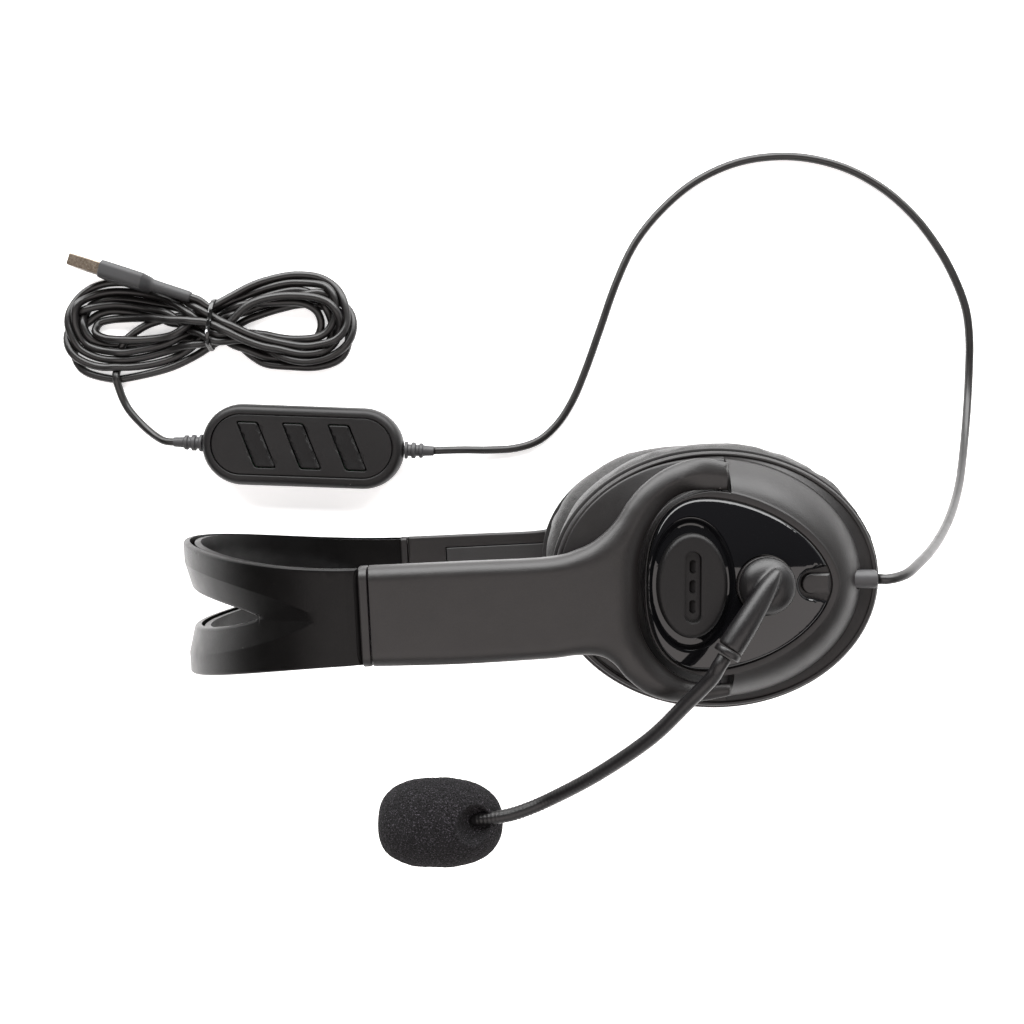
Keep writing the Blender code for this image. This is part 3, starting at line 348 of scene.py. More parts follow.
def plate(outline, place, holes=(), lines=(), dots=(), spacing=2.0):
    """A solid sheet over an outline.

    place(points, edge, top) gives the 3-D points of each face, from flat
    points and their distances to the outline and the holes.  holes and lines
    are closed loops that the surface keeps, and dots are single points.
    """
    loops = [list(outline)] + [list(h) for h in holes] + [list(k) for k in lines]
    coords = []
    edges = []
    for loop in loops:
        start = len(coords)
        coords += loop
        edges += [(start + i, start + (i + 1) % len(loop)) for i in range(len(loop))]
    coords += list(dots)
    coords += inner_grid(loops, holes, spacing)
    flat = delaunay_2d_cdt([Vector(c) for c in coords], edges, [], 0, 1e-5)
    verts = np.array([(v.x, v.y) for v in flat[0]])
    triangles = np.array([tuple(t) for t in flat[2]])
    centres = verts[triangles].mean(axis=1)
    keep = inside(centres, loops[0])
    for hole in holes:
        keep &= ~inside(centres, hole)
    triangles = triangles[keep]
    used = np.unique(triangles)
    order = np.full(len(verts), -1)
    order[used] = np.arange(len(used))
    verts, triangles = verts[used], order[triangles]
    edge = edge_distance(verts, [outline] + [list(h) for h in holes])
    points = np.concatenate([place(verts, edge, True), place(verts, edge, False)])
    count = len(verts)
    faces = [tuple(t) for t in triangles] + [(c + count, b + count, a + count)
                                             for a, b, c in triangles]
    seen = {(a, b) for t in triangles for a, b in ((t[0], t[1]), (t[1], t[2]), (t[2], t[0]))}
    faces += [(b, a, a + count, b + count) for a, b in seen if (b, a) not in seen]
    return points, faces


def column(*parts):
    """Stack coordinates, given as arrays or single numbers, into 3-D points."""
    return np.stack(np.broadcast_arrays(*[np.asarray(p, float) for p in parts]), axis=-1)


def turn_outward(mesh):
    """Flip a closed mesh whose faces point inward: its volume is negative."""
    mesh.calc_loop_triangles()
    corners = np.array([[mesh.vertices[i].co for i in t.vertices] for t in mesh.loop_triangles])
    volume = np.einsum("ij,ij->i", corners[:, 0], np.cross(corners[:, 1], corners[:, 2])).sum()
    if volume < 0.0:
        mesh.flip_normals()


def new_object(name, data):
    made = bpy.data.objects.new(name, data)
    bpy.context.scene.collection.objects.link(made)
    return made


def make_object(name, shape, side=None):
    """A mesh object from millimetre points: side turns w into z."""
    points = np.array(shape[0], float)
    if side is not None:
        points[:, 2] = HALF_WIDTH + side * points[:, 2]
    points[:, :2] += np.array(ORIGIN)
    mesh = bpy.data.meshes.new(name)
    mesh.from_pydata((points * MM).tolist(), [], [tuple(int(i) for i in f) for f in shape[1]])
    turn_outward(mesh)
    return new_object(name, mesh)


def add_piece(name, body, finish, shape, nodes=(), side=None, sharp=35.0):
    piece = make_object(name, shape, side)
    finish_piece(piece, body, finish, nodes, sharp)
    return piece


def finish_piece(piece, body, finish, nodes=(), sharp=35.0):
    material, slot = FINISHES[finish]
    piece.data.materials.clear()
    piece.data.materials.append(material)
    piece.data.shade_smooth()
    if sharp:
        piece.data.set_sharp_from_angle(angle=math.radians(sharp))
    if body:
        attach(piece, body)
    if nodes:
        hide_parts(*nodes)


def bake_modifiers(piece):
    """Replace an object's mesh with what its modifiers make of it."""
    graph = bpy.context.evaluated_depsgraph_get()
    mesh = bpy.data.meshes.new_from_object(piece.evaluated_get(graph))
    piece.modifiers.clear()
    piece.data = mesh


def carve(piece, shape, side=None, operation="DIFFERENCE"):
    cutter = make_object(piece.name + "_cutter", shape, side)
    modifier = piece.modifiers.new("carve", "BOOLEAN")
    modifier.operation = operation
    modifier.solver = "EXACT"
    modifier.object = cutter
    bake_modifiers(piece)
    bpy.data.objects.remove(cutter)


def soften(piece, width, segments=2, angle=30.0):
    """Rounds the edges of a piece, and keeps its broad faces flat in shading."""
    bevel = piece.modifiers.new("edges", "BEVEL")
    bevel.width = width * MM
    bevel.segments = segments
    bevel.limit_method = "ANGLE"
    bevel.angle_limit = math.radians(angle)
    bevel.use_clamp_overlap = True
    bake_modifiers(piece)


# --- materials ------------------------------------------------------------------

class Finish:
    """A Principled material with its nodes, in object coordinates."""

    def __init__(self, name, colour, roughness, metallic=0.0, ior=1.45):
        self.material = bpy.data.materials.new(name)
        self.material.use_nodes = True
        self.tree = self.material.node_tree
        self.shader = self.tree.nodes["Principled BSDF"]
        self.set("Base Color", (*colour, 1.0))
        self.set("Roughness", roughness)
        self.set("Metallic", metallic)
        self.set("IOR", ior)
        self.place = self.tree.nodes.new("ShaderNodeTexCoord").outputs["Object"]

    def set(self, socket, value):
        self.shader.inputs[socket].default_value = value

    def link(self, output, socket):
        self.tree.links.new(output, self.shader.inputs[socket])

    def node(self, kind, inputs=(), **settings):
        made = self.tree.nodes.new(kind)
        for key, value in settings.items():
            setattr(made, key, value)
        for key, value in dict(inputs).items():
            if isinstance(value, bpy.types.NodeSocket):
                self.tree.links.new(value, made.inputs[key])
            else:
                made.inputs[key].default_value = value
        return made

    def noise(self, size, detail=3.0, rough=0.5, stretch=None):
        """Noise whose features are about size millimetres."""
        place = self.place
        if stretch:
            place = self.node("ShaderNodeMapping", {"Vector": place, "Scale": stretch}).outputs[0]
        return self.node("ShaderNodeTexNoise", {
            "Vector": place, "Scale": 1.0 / (size * MM), "Detail": detail,
            "Roughness": rough}).outputs["Fac"]

    def cells(self, size, feature="F1", randomness=1.0, output="Distance"):
        return self.node("ShaderNodeTexVoronoi", {
            "Vector": self.place, "Scale": 1.0 / (size * MM), "Randomness": randomness},
            feature=feature).outputs[output]

    def spread(self, value, low, high, out_low=0.0, out_high=1.0):
        return self.node("ShaderNodeMapRange", {
            "Value": value, "From Min": low, "From Max": high,
            "To Min": out_low, "To Max": out_high}).outputs["Result"]

    def math(self, operation, one, two=0.0):
        return self.node("ShaderNodeMath", {0: one, 1: two}, operation=operation).outputs[0]

    def mix(self, share, one, two):
        made = self.node("ShaderNodeMix", data_type="RGBA")
        for index, value in ((0, share), (6, one), (7, two)):
            if isinstance(value, bpy.types.NodeSocket):
                self.tree.links.new(value, made.inputs[index])
            elif index:
                made.inputs[index].default_value = (*value, 1.0)
            else:
                made.inputs[index].default_value = value
        return made.outputs[2]

    def bump(self, height, depth, strength=1.0, after=None):
        """Bump from a height between 0 and 1, depth in millimetres."""
        inputs = {"Height": height, "Distance": depth * MM, "Strength": strength}
        if after is not None:
            inputs["Normal"] = after
        return self.node("ShaderNodeBump", inputs).outputs["Normal"]

    def specks(self, size, share):
        """Sparse dust: 1 on a few small dots, one for some of the cells."""
        near = self.spread(self.cells(size), 0.030, 0.015)
        chosen = self.spread(self.node("ShaderNodeSeparateColor", {
            "Color": self.cells(size, output="Color")}).outputs[0], share, share - 0.01)
        return self.math("MULTIPLY", near, chosen)


def satin_plastic(name, colour=(0.0068, 0.0060, 0.0060), roughness=0.40, grain=0.45,
                  shine=0.42):
    """Fine-etched moulded plastic with a few dust specks."""
    made = Finish(name, colour, roughness, ior=1.45)
    made.set("Specular IOR Level", shine)
    cloud = made.noise(14.0, 2.0)
    darker = tuple(0.82 * c for c in colour)
    lighter = tuple(1.18 * c for c in colour)
    tone = made.mix(cloud, darker, lighter)
    tone = made.mix(made.specks(5.0, 0.30), tone, (0.22, 0.21, 0.20))
    made.link(tone, "Base Color")
    fine = made.noise(grain, 4.0, 0.65)
    made.link(made.spread(made.math("ADD", made.noise(6.0), made.math("MULTIPLY", fine, 0.6)),
                          0.4, 1.2, roughness - 0.05, roughness + 0.07), "Roughness")
    made.link(made.bump(fine, 0.035), "Normal")
    return made.material


def gloss_plastic(name):
    made = Finish(name, (0.0035, 0.0035, 0.0040), 0.035, ior=1.47)
    smear = made.noise(9.0, 5.0, 0.7)
    made.link(made.spread(smear, 0.45, 0.75, 0.03, 0.09), "Roughness")
    made.link(made.mix(made.specks(4.0, 0.25), (0.0035, 0.0035, 0.0040), (0.10, 0.10, 0.10)),
              "Base Color")
    made.link(made.bump(made.noise(20.0, 1.0), 0.012), "Normal")
    return made.material


def leatherette(name):
    """Soft coated fabric: grain cells, creases and a dull sheen."""
    made = Finish(name, (0.014, 0.0135, 0.0135), 0.48, ior=1.42)
    made.set("Sheen Weight", 0.12)
    made.set("Sheen Roughness", 0.4)
    made.link(made.mix(made.noise(7.0, 3.0), (0.010, 0.0095, 0.0095), (0.019, 0.018, 0.0175)),
              "Base Color")
    grain = made.cells(0.75, "DISTANCE_TO_EDGE")
    creases = made.noise(2.6, 4.0, 0.7, stretch=(1.0, 1.0, 0.35))
    first = made.bump(made.spread(creases, 0.35, 0.7), 0.16)
    made.link(made.bump(made.spread(grain, 0.0, 0.25), 0.05, after=first), "Normal")
    made.link(made.spread(grain, 0.0, 0.3, 0.58, 0.42), "Roughness")
    return made.material


def foam(name):
    """Open-cell foam: lighter struts, with painted shade darkening the pits between them."""
    made = Finish(name, (0.03, 0.03, 0.032), 0.95, ior=1.3)
    made.set("Sheen Weight", 0.03)
    made.set("Specular IOR Level", 0.2)
    made.set("Sheen Roughness", 0.6)
    pits = made.cells(0.85, "DISTANCE_TO_EDGE")
    small = made.cells(0.42, "DISTANCE_TO_EDGE")
    height = made.math("ADD", made.spread(pits, 0.0, 0.35, 1.0, 0.0),
                       made.math("MULTIPLY", made.spread(small, 0.0, 0.3, 1.0, 0.0), 0.5))
    # Painted shade: the base colour darkens towards the middle of each cell, where the bump sinks
    # the pits and shade would fall.
    shade = made.mix(made.spread(height, 0.1, 1.1), (0.0008, 0.0008, 0.0009),
                     (0.0105, 0.0100, 0.0110))
    shade = made.mix(made.spread(made.noise(0.42, 1.0), 0.58, 0.70), shade, (0.062, 0.056, 0.066))
    made.link(shade, "Base Color")
    made.link(made.bump(height, 0.35), "Normal")
    return made.material


def cable_jacket(name):
    made = Finish(name, (0.0050, 0.0045, 0.0044), 0.34, ior=1.45)
    made.link(made.spread(made.noise(5.0, 4.0, 0.6), 0.3, 0.7, 0.30, 0.40), "Roughness")
    made.link(made.mix(made.specks(3.2, 0.25), (0.0050, 0.0045, 0.0044), (0.16, 0.15, 0.15)),
              "Base Color")
    made.link(made.bump(made.noise(2.4, 2.0, 0.5), 0.012), "Normal")
    return made.material


def soft_rubber(name, colour=(0.026, 0.0255, 0.027), roughness=0.52):
    made = Finish(name, colour, roughness, ior=1.45)
    tone = made.mix(made.noise(5.0, 2.0), tuple(0.85 * c for c in colour),
                    tuple(1.15 * c for c in colour))
    made.link(made.mix(made.specks(3.0, 0.3), tone, (0.20, 0.20, 0.20)), "Base Color")
    made.link(made.bump(made.noise(0.35, 3.0, 0.6), 0.03), "Normal")
    return made.material


def steel(name, colour=(0.42, 0.42, 0.43), roughness=0.3):
    made = Finish(name, colour, roughness, 1.0)
    streak = made.noise(0.5, 4.0, 0.6, stretch=(0.05, 1.0, 1.0))
    made.link(made.spread(streak, 0.3, 0.7, roughness - 0.06, roughness + 0.1), "Roughness")
    made.link(made.bump(streak, 0.01), "Normal")
    return made.material


def plug_metal(name):
    """Dull nickel with stains and bright pin-points."""
    made = Finish(name, (0.20, 0.165, 0.13), 0.42, 1.0)
    stain = made.noise(1.1, 5.0, 0.75)
    tone = made.mix(made.spread(stain, 0.35, 0.68), (0.085, 0.068, 0.052), (0.26, 0.215, 0.17))
    tone = made.mix(made.spread(made.noise(0.28, 1.0), 0.68, 0.76), tone, (0.62, 0.56, 0.47))
    made.link(tone, "Base Color")
    made.link(made.spread(stain, 0.3, 0.7, 0.5, 0.36), "Roughness")
    made.link(made.bump(made.noise(0.3, 3.0), 0.02), "Normal")
    return made.material


def ear_cloth(name):
    """Fine knit: rows of small loops."""
    made = Finish(name, (0.012, 0.012, 0.0125), 0.92, ior=1.3)
    made.set("Sheen Weight", 0.3)
    warp = made.node("ShaderNodeTexWave", {"Vector": made.place, "Scale": 1.0 / (3.2 * MM),
                                           "Distortion": 1.5, "Detail": 1.0},
                     bands_direction="X").outputs["Fac"]
    weft = made.node("ShaderNodeTexWave", {"Vector": made.place, "Scale": 1.0 / (4.4 * MM),
                                           "Distortion": 1.0, "Detail": 1.0},
                     bands_direction="Y").outputs["Fac"]
    loops = made.math("MULTIPLY", warp, weft)
    made.link(made.mix(loops, (0.006, 0.006, 0.006), (0.026, 0.026, 0.027)), "Base Color")
    made.link(made.bump(loops, 0.2), "Normal")
    return made.material


def tie_film(name):
    """Dark crinkled wrap: its creases are bumped, and their crests painted bright as glints."""
    made = Finish(name, (0.006, 0.006, 0.006), 0.16, ior=1.5)
    creases = made.noise(1.5, 3.0, 0.6, stretch=(1.0, 0.45, 1.0))
    # Painted highlights: near-white colour on the crease crests stands in for glints of light.
    made.link(made.mix(made.spread(creases, 0.60, 0.66), (0.006, 0.006, 0.006),
                       (0.55, 0.56, 0.58)), "Base Color")
    made.link(made.bump(creases, 0.25), "Normal")
    return made.material


def board_lacquer(name):
    made = Finish(name, (0.01, 0.06, 0.03), 0.35)
    tracks = made.spread(made.cells(2.5, "DISTANCE_TO_EDGE"), 0.04, 0.05)
    made.link(made.mix(tracks, (0.03, 0.14, 0.06), (0.008, 0.05, 0.024)), "Base Color")
    made.link(made.bump(tracks, 0.03), "Normal")
    return made.material


def film(name):
    made = Finish(name, (0.35, 0.35, 0.36), 0.3)
    made.link(made.bump(made.noise(1.5, 2.0), 0.05), "Normal")
    made.link(made.spread(made.noise(4.0), 0.3, 0.7, 0.24, 0.38), "Roughness")
    return made.material


# Each finish: its material, and the slot of the CAD material it stands for.
FINISHES = {
    "satin": (satin_plastic("satin_plastic"), "satin_plastic"),
    "arm": (satin_plastic("arm_plastic", (0.0075, 0.0066, 0.0065), 0.38, 0.40), "satin_plastic"),
    "band": (satin_plastic("band_plastic", (0.0018, 0.0016, 0.0016), 0.33, 0.5, 0.18),
             "satin_plastic"),
    "liner": (satin_plastic("liner_plastic", (0.0012, 0.0011, 0.0011), 0.34, 0.6, 0.13),
              "liner_plastic"),
    "gloss": (gloss_plastic("gloss_plastic"), "gloss_plastic"),
    "inner": (satin_plastic("inner_plastic", (0.012, 0.0115, 0.0115), 0.5, 0.6), "inner_plastic"),
    "remote": (satin_plastic("remote_plastic", (0.0042, 0.0038, 0.0039), 0.42, 0.5, 0.32),
               "satin_plastic"),
    "badge": (satin_plastic("badge_plastic", (0.0030, 0.0027, 0.0028), 0.44, 0.35, 0.26),
              "satin_plastic"),
    "boom": (satin_plastic("boom_plastic", (0.0050, 0.0046, 0.0049), 0.34, 0.35), "satin_plastic"),
    "leather": (leatherette("leatherette"), "leatherette"),
    "foam": (foam("windscreen_foam"), "windscreen_foam"),
    "cable": (cable_jacket("cable_jacket"), "cable_jacket"),
    "rubber": (soft_rubber("soft_rubber"), "soft_rubber"),
    "overmold": (soft_rubber("plug_overmold", (0.021, 0.021, 0.022), 0.55), "soft_rubber"),
    "steel": (steel("steel"), "steel"),
    # Painted shade: the hinge pins' steel is coloured near black to stand in for the shadow at the
    # prong ends where they show.
    "pin": (steel("pin_steel_painted_dark", (0.030, 0.030, 0.032), 0.38), "steel"),
    "tie": (tie_film("tie_film"), "soft_rubber"),
    "plug": (plug_metal("plug_metal"), "plug_shell"),
    "cloth": (ear_cloth("ear_cloth"), "ear_cloth"),
    "board": (board_lacquer("board_lacquer"), "circuit_board"),
    "film": (film("diaphragm_film"), "diaphragm_film"),
}


# --- camera, light and floor ----------------------------------------------------

def add_light(name, place, aim, size, radiance, colour=(1.0, 1.0, 1.0)):
    """Rectangular softbox: its power follows from its brightness and area."""
    data = bpy.data.lights.new(name, "AREA")
    data.shape = "RECTANGLE"
    data.size, data.size_y = size
    data.energy = radiance * math.pi * size[0] * size[1]
    data.color = colour
    light = new_object(name, data)
    light.location = place
    light.rotation_euler = (Vector(aim) - Vector(place)).to_track_quat("-Z", "Y").to_euler()


def build_studio():
    scene = bpy.context.scene
    scene.view_settings.view_transform = "Standard"
    camera_data = bpy.data.cameras.new("camera")
    camera_data.sensor_width = 36.0
    camera_data.lens = 42.64
    camera_data.clip_start = 0.01
    camera = new_object("camera", camera_data)
    camera.location = (-0.0023, 0.0598, 0.472)
    camera.rotation_euler = (math.radians(-2.502), 0.0, 0.0)
    scene.camera = camera

    world = bpy.data.worlds.new("studio")
    world.use_nodes = True
    world.node_tree.nodes["Background"].inputs[0].default_value = (0.05, 0.05, 0.051, 1.0)
    scene.world = world

    add_light("overhead", (0.0, -0.50, 0.95), (0.0, -0.50, 0.0), (1.7, 1.14), 2.15,
              (1.0, 0.93, 0.91))
    add_light("rear_strip", (0.0, 0.90, 0.48), (0.0, 0.0, 0.08), (2.0, 0.8), 10.5)
    add_light("front_strip", (0.0, -1.25, 0.45), (0.0, 0.0, 0.05), (1.9, 0.5), 1.4)
    add_light("right_strip", (1.25, 0.1, 0.5), (0.0, 0.05, 0.05), (1.2, 0.5), 1.2)

    floor_mesh = bpy.data.meshes.new("floor")
    reach = 4.0
    floor_mesh.from_pydata([(-reach, -reach, 0.0), (reach, -reach, 0.0),
                            (reach, reach, 0.0), (-reach, reach, 0.0)], [], [(0, 1, 2, 3)])
    floor = new_object("floor", floor_mesh)
    paper = Finish("paper", (0.93, 0.93, 0.93), 0.8)
    paper.link(paper.bump(paper.noise(2.0, 3.0), 0.02), "Normal")
    paper.set("Specular IOR Level", 0.1)
    paper.set("Emission Color", (1.0, 1.0, 1.0, 1.0))
    paper.set("Emission Strength", 0.50)
    floor_mesh.materials.append(paper.material)


# --- cable ------------------------------------------------------------------------

# Routes of the two plain stretches, as in the CAD model.
CORD_UPPER = [
    (107.8, 25.2, 123.0), (111.4, 25.2, 123.0), (117.2, 26.3, 119.4), (123.6, 28.5, 110.6),
    (131.2, 31.0, 98.0), (139.4, 34.2, 83.0), (148.0, 38.6, 66.5), (156.2, 44.2, 50.0),
    (163.8, 51.6, 34.0), (169.8, 60.4, 20.5), (174.4, 71.0, 10.4), (177.3, 82.6, 4.4),
    (178.6, 94.4, 1.9), (178.7, 105.6, 1.6), (177.2, 117.2, 1.6), (172.8, 128.9, 1.6),
    (166.4, 140.4, 1.6), (157.0, 152.6, 1.6), (144.4, 163.6, 1.6), (128.6, 171.8, 1.6),
    (110.0, 175.6, 1.6), (91.0, 174.0, 1.6), (74.3, 167.2, 1.6), (61.0, 156.8, 1.6),
    (49.9, 143.4, 1.6), (42.4, 127.8, 1.6), (36.0, 109.5, 1.6), (30.6, 94.2, 1.6),
    (25.6, 82.4, 1.6), (19.8, 73.4, 1.6), (12.6, 67.0, 1.6), (3.6, 64.0, 1.6),
    (-6.6, 63.3, 2.1), (-16.4, 63.3, 4.4), (-25.0, 63.1, 5.9), (-28.4, 62.9, 6.0)]
CORD_LOWER = [
    (-127.0, 66.33, 6.0), (-131.2, 66.7, 5.3), (-136.2, 69.3, 2.9), (-141.4, 73.6, 1.6),
    (-146.2, 79.2, 1.6), (-149.0, 85.2, 1.6), (-149.6, 89.6, 1.8)]

# Hank: for each turn, its left and right lobes as (top y, end x, bottom y).
HANK_LEFT = [(117.9, -167.4, 90.9), (121.3, -164.7, 103.1), (119.0, -169.1, 94.0),
             (123.9, -165.9, 100.8), (114.1, -159.4, 105.0), (128.5, -167.4, 97.0)]
HANK_RIGHT = [(120.2, -59.7, 95.1), (124.3, -65.8, 98.2), (123.6, -58.1, 97.8),
              (120.9, -70.0, 103.5), (128.1, -65.0, 103.5), (122.4, -62.6, 100.0),
              (130.3, -61.2, 100.8)]
HANK_ENTRY = [(-150.6, 94.1, 2.0), (-149.9, 98.9, 4.0), (-147.9, 104.6, 5.0),
              (-143.7, 108.4, 5.0), (-137.6, 113.0, 4.6), (-127.0, 114.6, 4.0)]
WAIST_X = -112.0
ENTRY_CELL, PLUG_CELL = (114.0, 4.6), (117.0, 7.8)
FALLING_CELLS = [(108.0, 4.6), (111.0, 4.6), (105.0, 7.6), (108.0, 7.6), (111.0, 7.6),
                 (114.0, 7.6)]
RISING_CELLS = [(105.0, 1.6), (108.0, 1.6), (111.0, 1.6), (114.0, 1.6), (117.0, 1.6),
                (105.0, 4.6)]
CORD_SPREAD = 3.06              # least distance between the middles of two strands


def lobe(shape, height, side):
    """Points round one lobe from its lower strand, round its end, to its upper one."""
    top, end, bottom = shape
    half, mid = (top - bottom) / 2, (top + bottom) / 2
    width = abs(end - WAIST_X)
    corner = min(half, 9.0)
    arm = [(WAIST_X + side * share * width, rise * half)
           for share, rise in ((0.24, 0.60), (0.50, 0.90), (0.76, 1.0))]
    arm.append((end - side * 0.30 * corner, 0.70 * half))
    return ([(x, mid - rise, height) for x, rise in arm] + [(end, mid, height)]
            + [(x, mid + rise, height) for x, rise in reversed(arm)])


def hank_route():
    """Control points (x, y, z, held) of the folded cable: the tie holds some."""
    points = [(*p, 0.0) for p in HANK_ENTRY]
    points.append((WAIST_X, *ENTRY_CELL, 1.0))
    for turn, right in enumerate(HANK_RIGHT):
        height = 1.6 + 1.7 * turn
        points += [(*p, 0.0) for p in lobe(right, height, 1)]
        if turn < len(HANK_LEFT):
            points.append((WAIST_X, *RISING_CELLS[turn], 1.0))
            points += [(*p, 0.0) for p in lobe(HANK_LEFT[turn], height, -1)]
            points.append((WAIST_X, *FALLING_CELLS[turn], 1.0))
    return points


def flow_apart(start, fixed, tether, rounds, spread):
    """Settle one cable: strands part, it keeps its length and bends, and it sinks."""
    place = start.copy()
    count = len(place)
    pair_a, pair_b = np.triu_indices(count, 4)
    loose = (~fixed)[:, None]
    rests = {k: np.linalg.norm(start[k:] - start[:-k], axis=1) for k in (1, 2, 3, 5)}
    for step in range(rounds):
        if step % 8 == 0:
            near = np.linalg.norm(place[pair_b] - place[pair_a], axis=1) < spread + 5.0
            near_a, near_b = pair_a[near], pair_b[near]
        gap = place[near_b] - place[near_a]
        far = np.linalg.norm(gap, axis=1)
        close = far < spread
        a, b = near_a[close], near_b[close]
        push = gap[close] * (0.5 * (spread - far[close])
                             / np.maximum(far[close], 1e-6))[:, None]
        move = np.zeros_like(place)
        hits = np.ones(count)
        np.add.at(move, a, -push)
        np.add.at(move, b, push)
        np.add.at(hits, a, 0.25)
        np.add.at(hits, b, 0.25)
        place += loose * move / hits[:, None]
        for k, rest in rests.items():
            gap = place[k:] - place[:-k]
            far = np.maximum(np.linalg.norm(gap, axis=1), 1e-6)
            over = far - rest if k == 1 else np.minimum(far - 0.97 * rest, 0.0)
            pull = gap * (0.22 * over / far)[:, None]
            place[:-k] += loose[:-k] * pull
            place[k:] -= loose[k:] * pull
        bend = place[:-2] + place[2:] - 2 * place[1:-1]
        place[1:-1] += loose[1:-1] * 0.06 * bend
        place += loose * tether[:, None] * (start - place) * (1.0, 1.0, 0.0)
        held = tether > 0.02
        sink = -0.03 if step < 0.7 * rounds else -0.004
        place[:, 2] += loose[:, 0] * np.where(held, 0.3 * tether * (start - place)[:, 2], sink)
        place[:, 2] = np.where(fixed, place[:, 2], np.maximum(place[:, 2], 1.56))
    return place


def remote_to_plug():
    """Middle line of the whole cable from the remote to the plug, in mm."""
    control = [(*p, 1.0) for p in CORD_LOWER] + hank_route()
    control += [(WAIST_X - 1.0, *PLUG_CELL, 0.6), (-114.6, 118.6, 8.0, 0.6),
                (*plug_point(35.2, 0.0, PLUG_AXIS_Z), 1.0),
                (*plug_point(32.3, 0.0, PLUG_AXIS_Z), 1.0)]
    even = even_path(control, 2.3)
    points, hold = even[:, :3].copy(), np.clip(even[:, 3], 0.0, 1.0)
    walked = np.concatenate([[0.0], np.cumsum(np.linalg.norm(np.diff(points, axis=0), axis=1))])
    fixed = walked < path_length(CORD_LOWER) - 6.0
    fixed[-2:] = True
    tether = np.where(hold > 0.5, 0.10, 0.008)
    done = flow_apart(points, fixed, tether, 900, CORD_SPREAD)
    return even_path([tuple(p) for p in done], 1.5, 4)


def plug_point(along, across, z):
    c, s = math.cos(PLUG_ANGLE), math.sin(PLUG_ANGLE)
    return (PLUG_JOINT[0] + along * c - across * s,
            PLUG_JOINT[1] + along * s + across * c, z)


def to_row(points):
    """Millimetre points on the headset, as metres in the frame's axes."""
    moved = np.array(points, float)
    moved[:, :2] += np.array(ORIGIN)
    return moved * MM


def build_cable():
    upper = even_path(CORD_UPPER, 2.5)
    upper_piece = add_piece("upper_cable", None, "cable",
                            tube([tuple(p) for p in upper], [CABLE_RADIUS] * len(upper), 20),
                            ["cord_upper"], sharp=0)
    row = to_row(upper)
    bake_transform(upper_piece)

    lower = remote_to_plug()
    curve = bpy.data.curves.new("lower_cable", "CURVE")
    curve.dimensions = "3D"
    curve.bevel_depth = CABLE_RADIUS * MM
    curve.bevel_resolution = 6
    curve.use_fill_caps = True
    spline = curve.splines.new("POLY")
    row = to_row(lower)
    spline.points.add(len(row) - 1)
    for target, point in zip(spline.points, row):
        target.co = (*point, 1.0)
    piece = new_object("lower_cable", curve)
    curve.materials.append(FINISHES["cable"][0])
    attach(piece, "near_arm")
    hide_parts("cord_lower", "cord_hank")
    return piece, row


# --- headband -----------------------------------------------------------------------

def arm_xy(p, q):
    """Along and across the arm's line, to x and y."""
    c, s = math.cos(ARM_TILT), math.sin(ARM_TILT)
    return p * c - q * s, ARM_LINE_Y + p * s + q * c


def band_half(angle):
    return 13.5 + 7.9 * np.cos(angle) ** 1.85


def slot_half(angle):
    reach = np.minimum(np.abs(angle) / SLOT_END, 1.0)
    return SLOT_HALF * (1.0 - reach ** 2.2) ** 0.75


def crease_half(angle):
    reach = np.minimum(np.abs(angle) / CREASE_END, 1.0)
    return CREASE_HALF * (1.0 - reach ** 2) ** 0.75


def band_loop(half, limit, step):
    """Closed loop of (length, q) between two mirrored edges."""
    count = round(2 * limit / math.radians(step))
    fine = np.linspace(-1.0, 1.0, count + 1)
    angles = limit * (0.7 * fine + 0.3 * np.sin(fine * math.pi / 2))
    upper = [(a * BAND_ARC_RADIUS, float(half(a))) for a in angles]
    lower = [(u, -v) for u, v in reversed(upper)]
    if upper[0][1] < 0.01:
        upper = upper[1:-1]
    return lower + upper


def headband_sheet(depth, shell, margin, chamfer, edge_round, dip):
    """One of the band's two layers, split into two straps by a slot.

    Its face sinks by dip over the last millimetres before the end cap.
    """
    outline = band_loop(lambda a: band_half(a) - margin, BAND_END, 1.0)
    hole = band_loop(lambda a: slot_half(a) + (margin if abs(a) < SLOT_END * 0.98 else 0.0),
                     SLOT_END, 1.1)
    crease = band_loop(crease_half, CREASE_END, 1.2)
    def place(points, edge, top):
        u, v = points[:, 0], points[:, 1]
        angle = u / BAND_ARC_RADIUS
        fall = chamfer * np.maximum(crease_half(angle) - np.abs(v), 0.0)
        here = depth + fall + (0.0 if top else shell)
        if top:
            here = here + round_over(edge, edge_round)
            left = (BAND_END - np.abs(angle)) * BAND_ARC_RADIUS
            here = here + dip * ease((4.4 - left) / 3.4)
        p = ARM_JOINT - (BAND_RISE - here) * np.cos(angle)
        x, y = arm_xy(p, v)
        return column(x, y, (HALF_WIDTH - here) * np.sin(angle))

    dots = []
    for row in round_rows(edge_round, 4):
        dots += inset(outline, row)
    for row in round_rows(edge_round, 3):
        dots += outset(hole, row)
    for off in (1.4, 2.2, 3.0, 3.8, 4.6):
        limit = BAND_END * BAND_ARC_RADIUS - off
        span = float(band_half(limit / BAND_ARC_RADIUS)) - margin - edge_round - 0.8
        for end in (-1, 1):
            dots += [(end * limit, v) for v in np.arange(-span, span, 1.2)]
    return plate(outline, place, holes=[hole], lines=[crease], dots=dots, spacing=1.9)


def rounded_section(p, top, bottom, outer, inner, shrink=0.0):
    """Section across the arm's line at p: outer rounds its face, inner its back."""
    high, low, top, bottom = (ARM_HALF - shrink, shrink - ARM_HALF_LOW, top - shrink,
                              bottom + shrink)
    corners = [(high - outer, top - outer, 0, outer), (low + outer, top - outer, 1, outer),
               (low + inner, bottom + inner, 2, inner), (high - inner, bottom + inner, 3, inner)]
    result = []
    for q, w, quarter, radius in corners:
        for step in range(13):
            t = math.pi / 2 * (quarter + step / 12)
            result.append((*arm_xy(p, q + radius * math.cos(t)), w + radius * math.sin(t)))
    return result


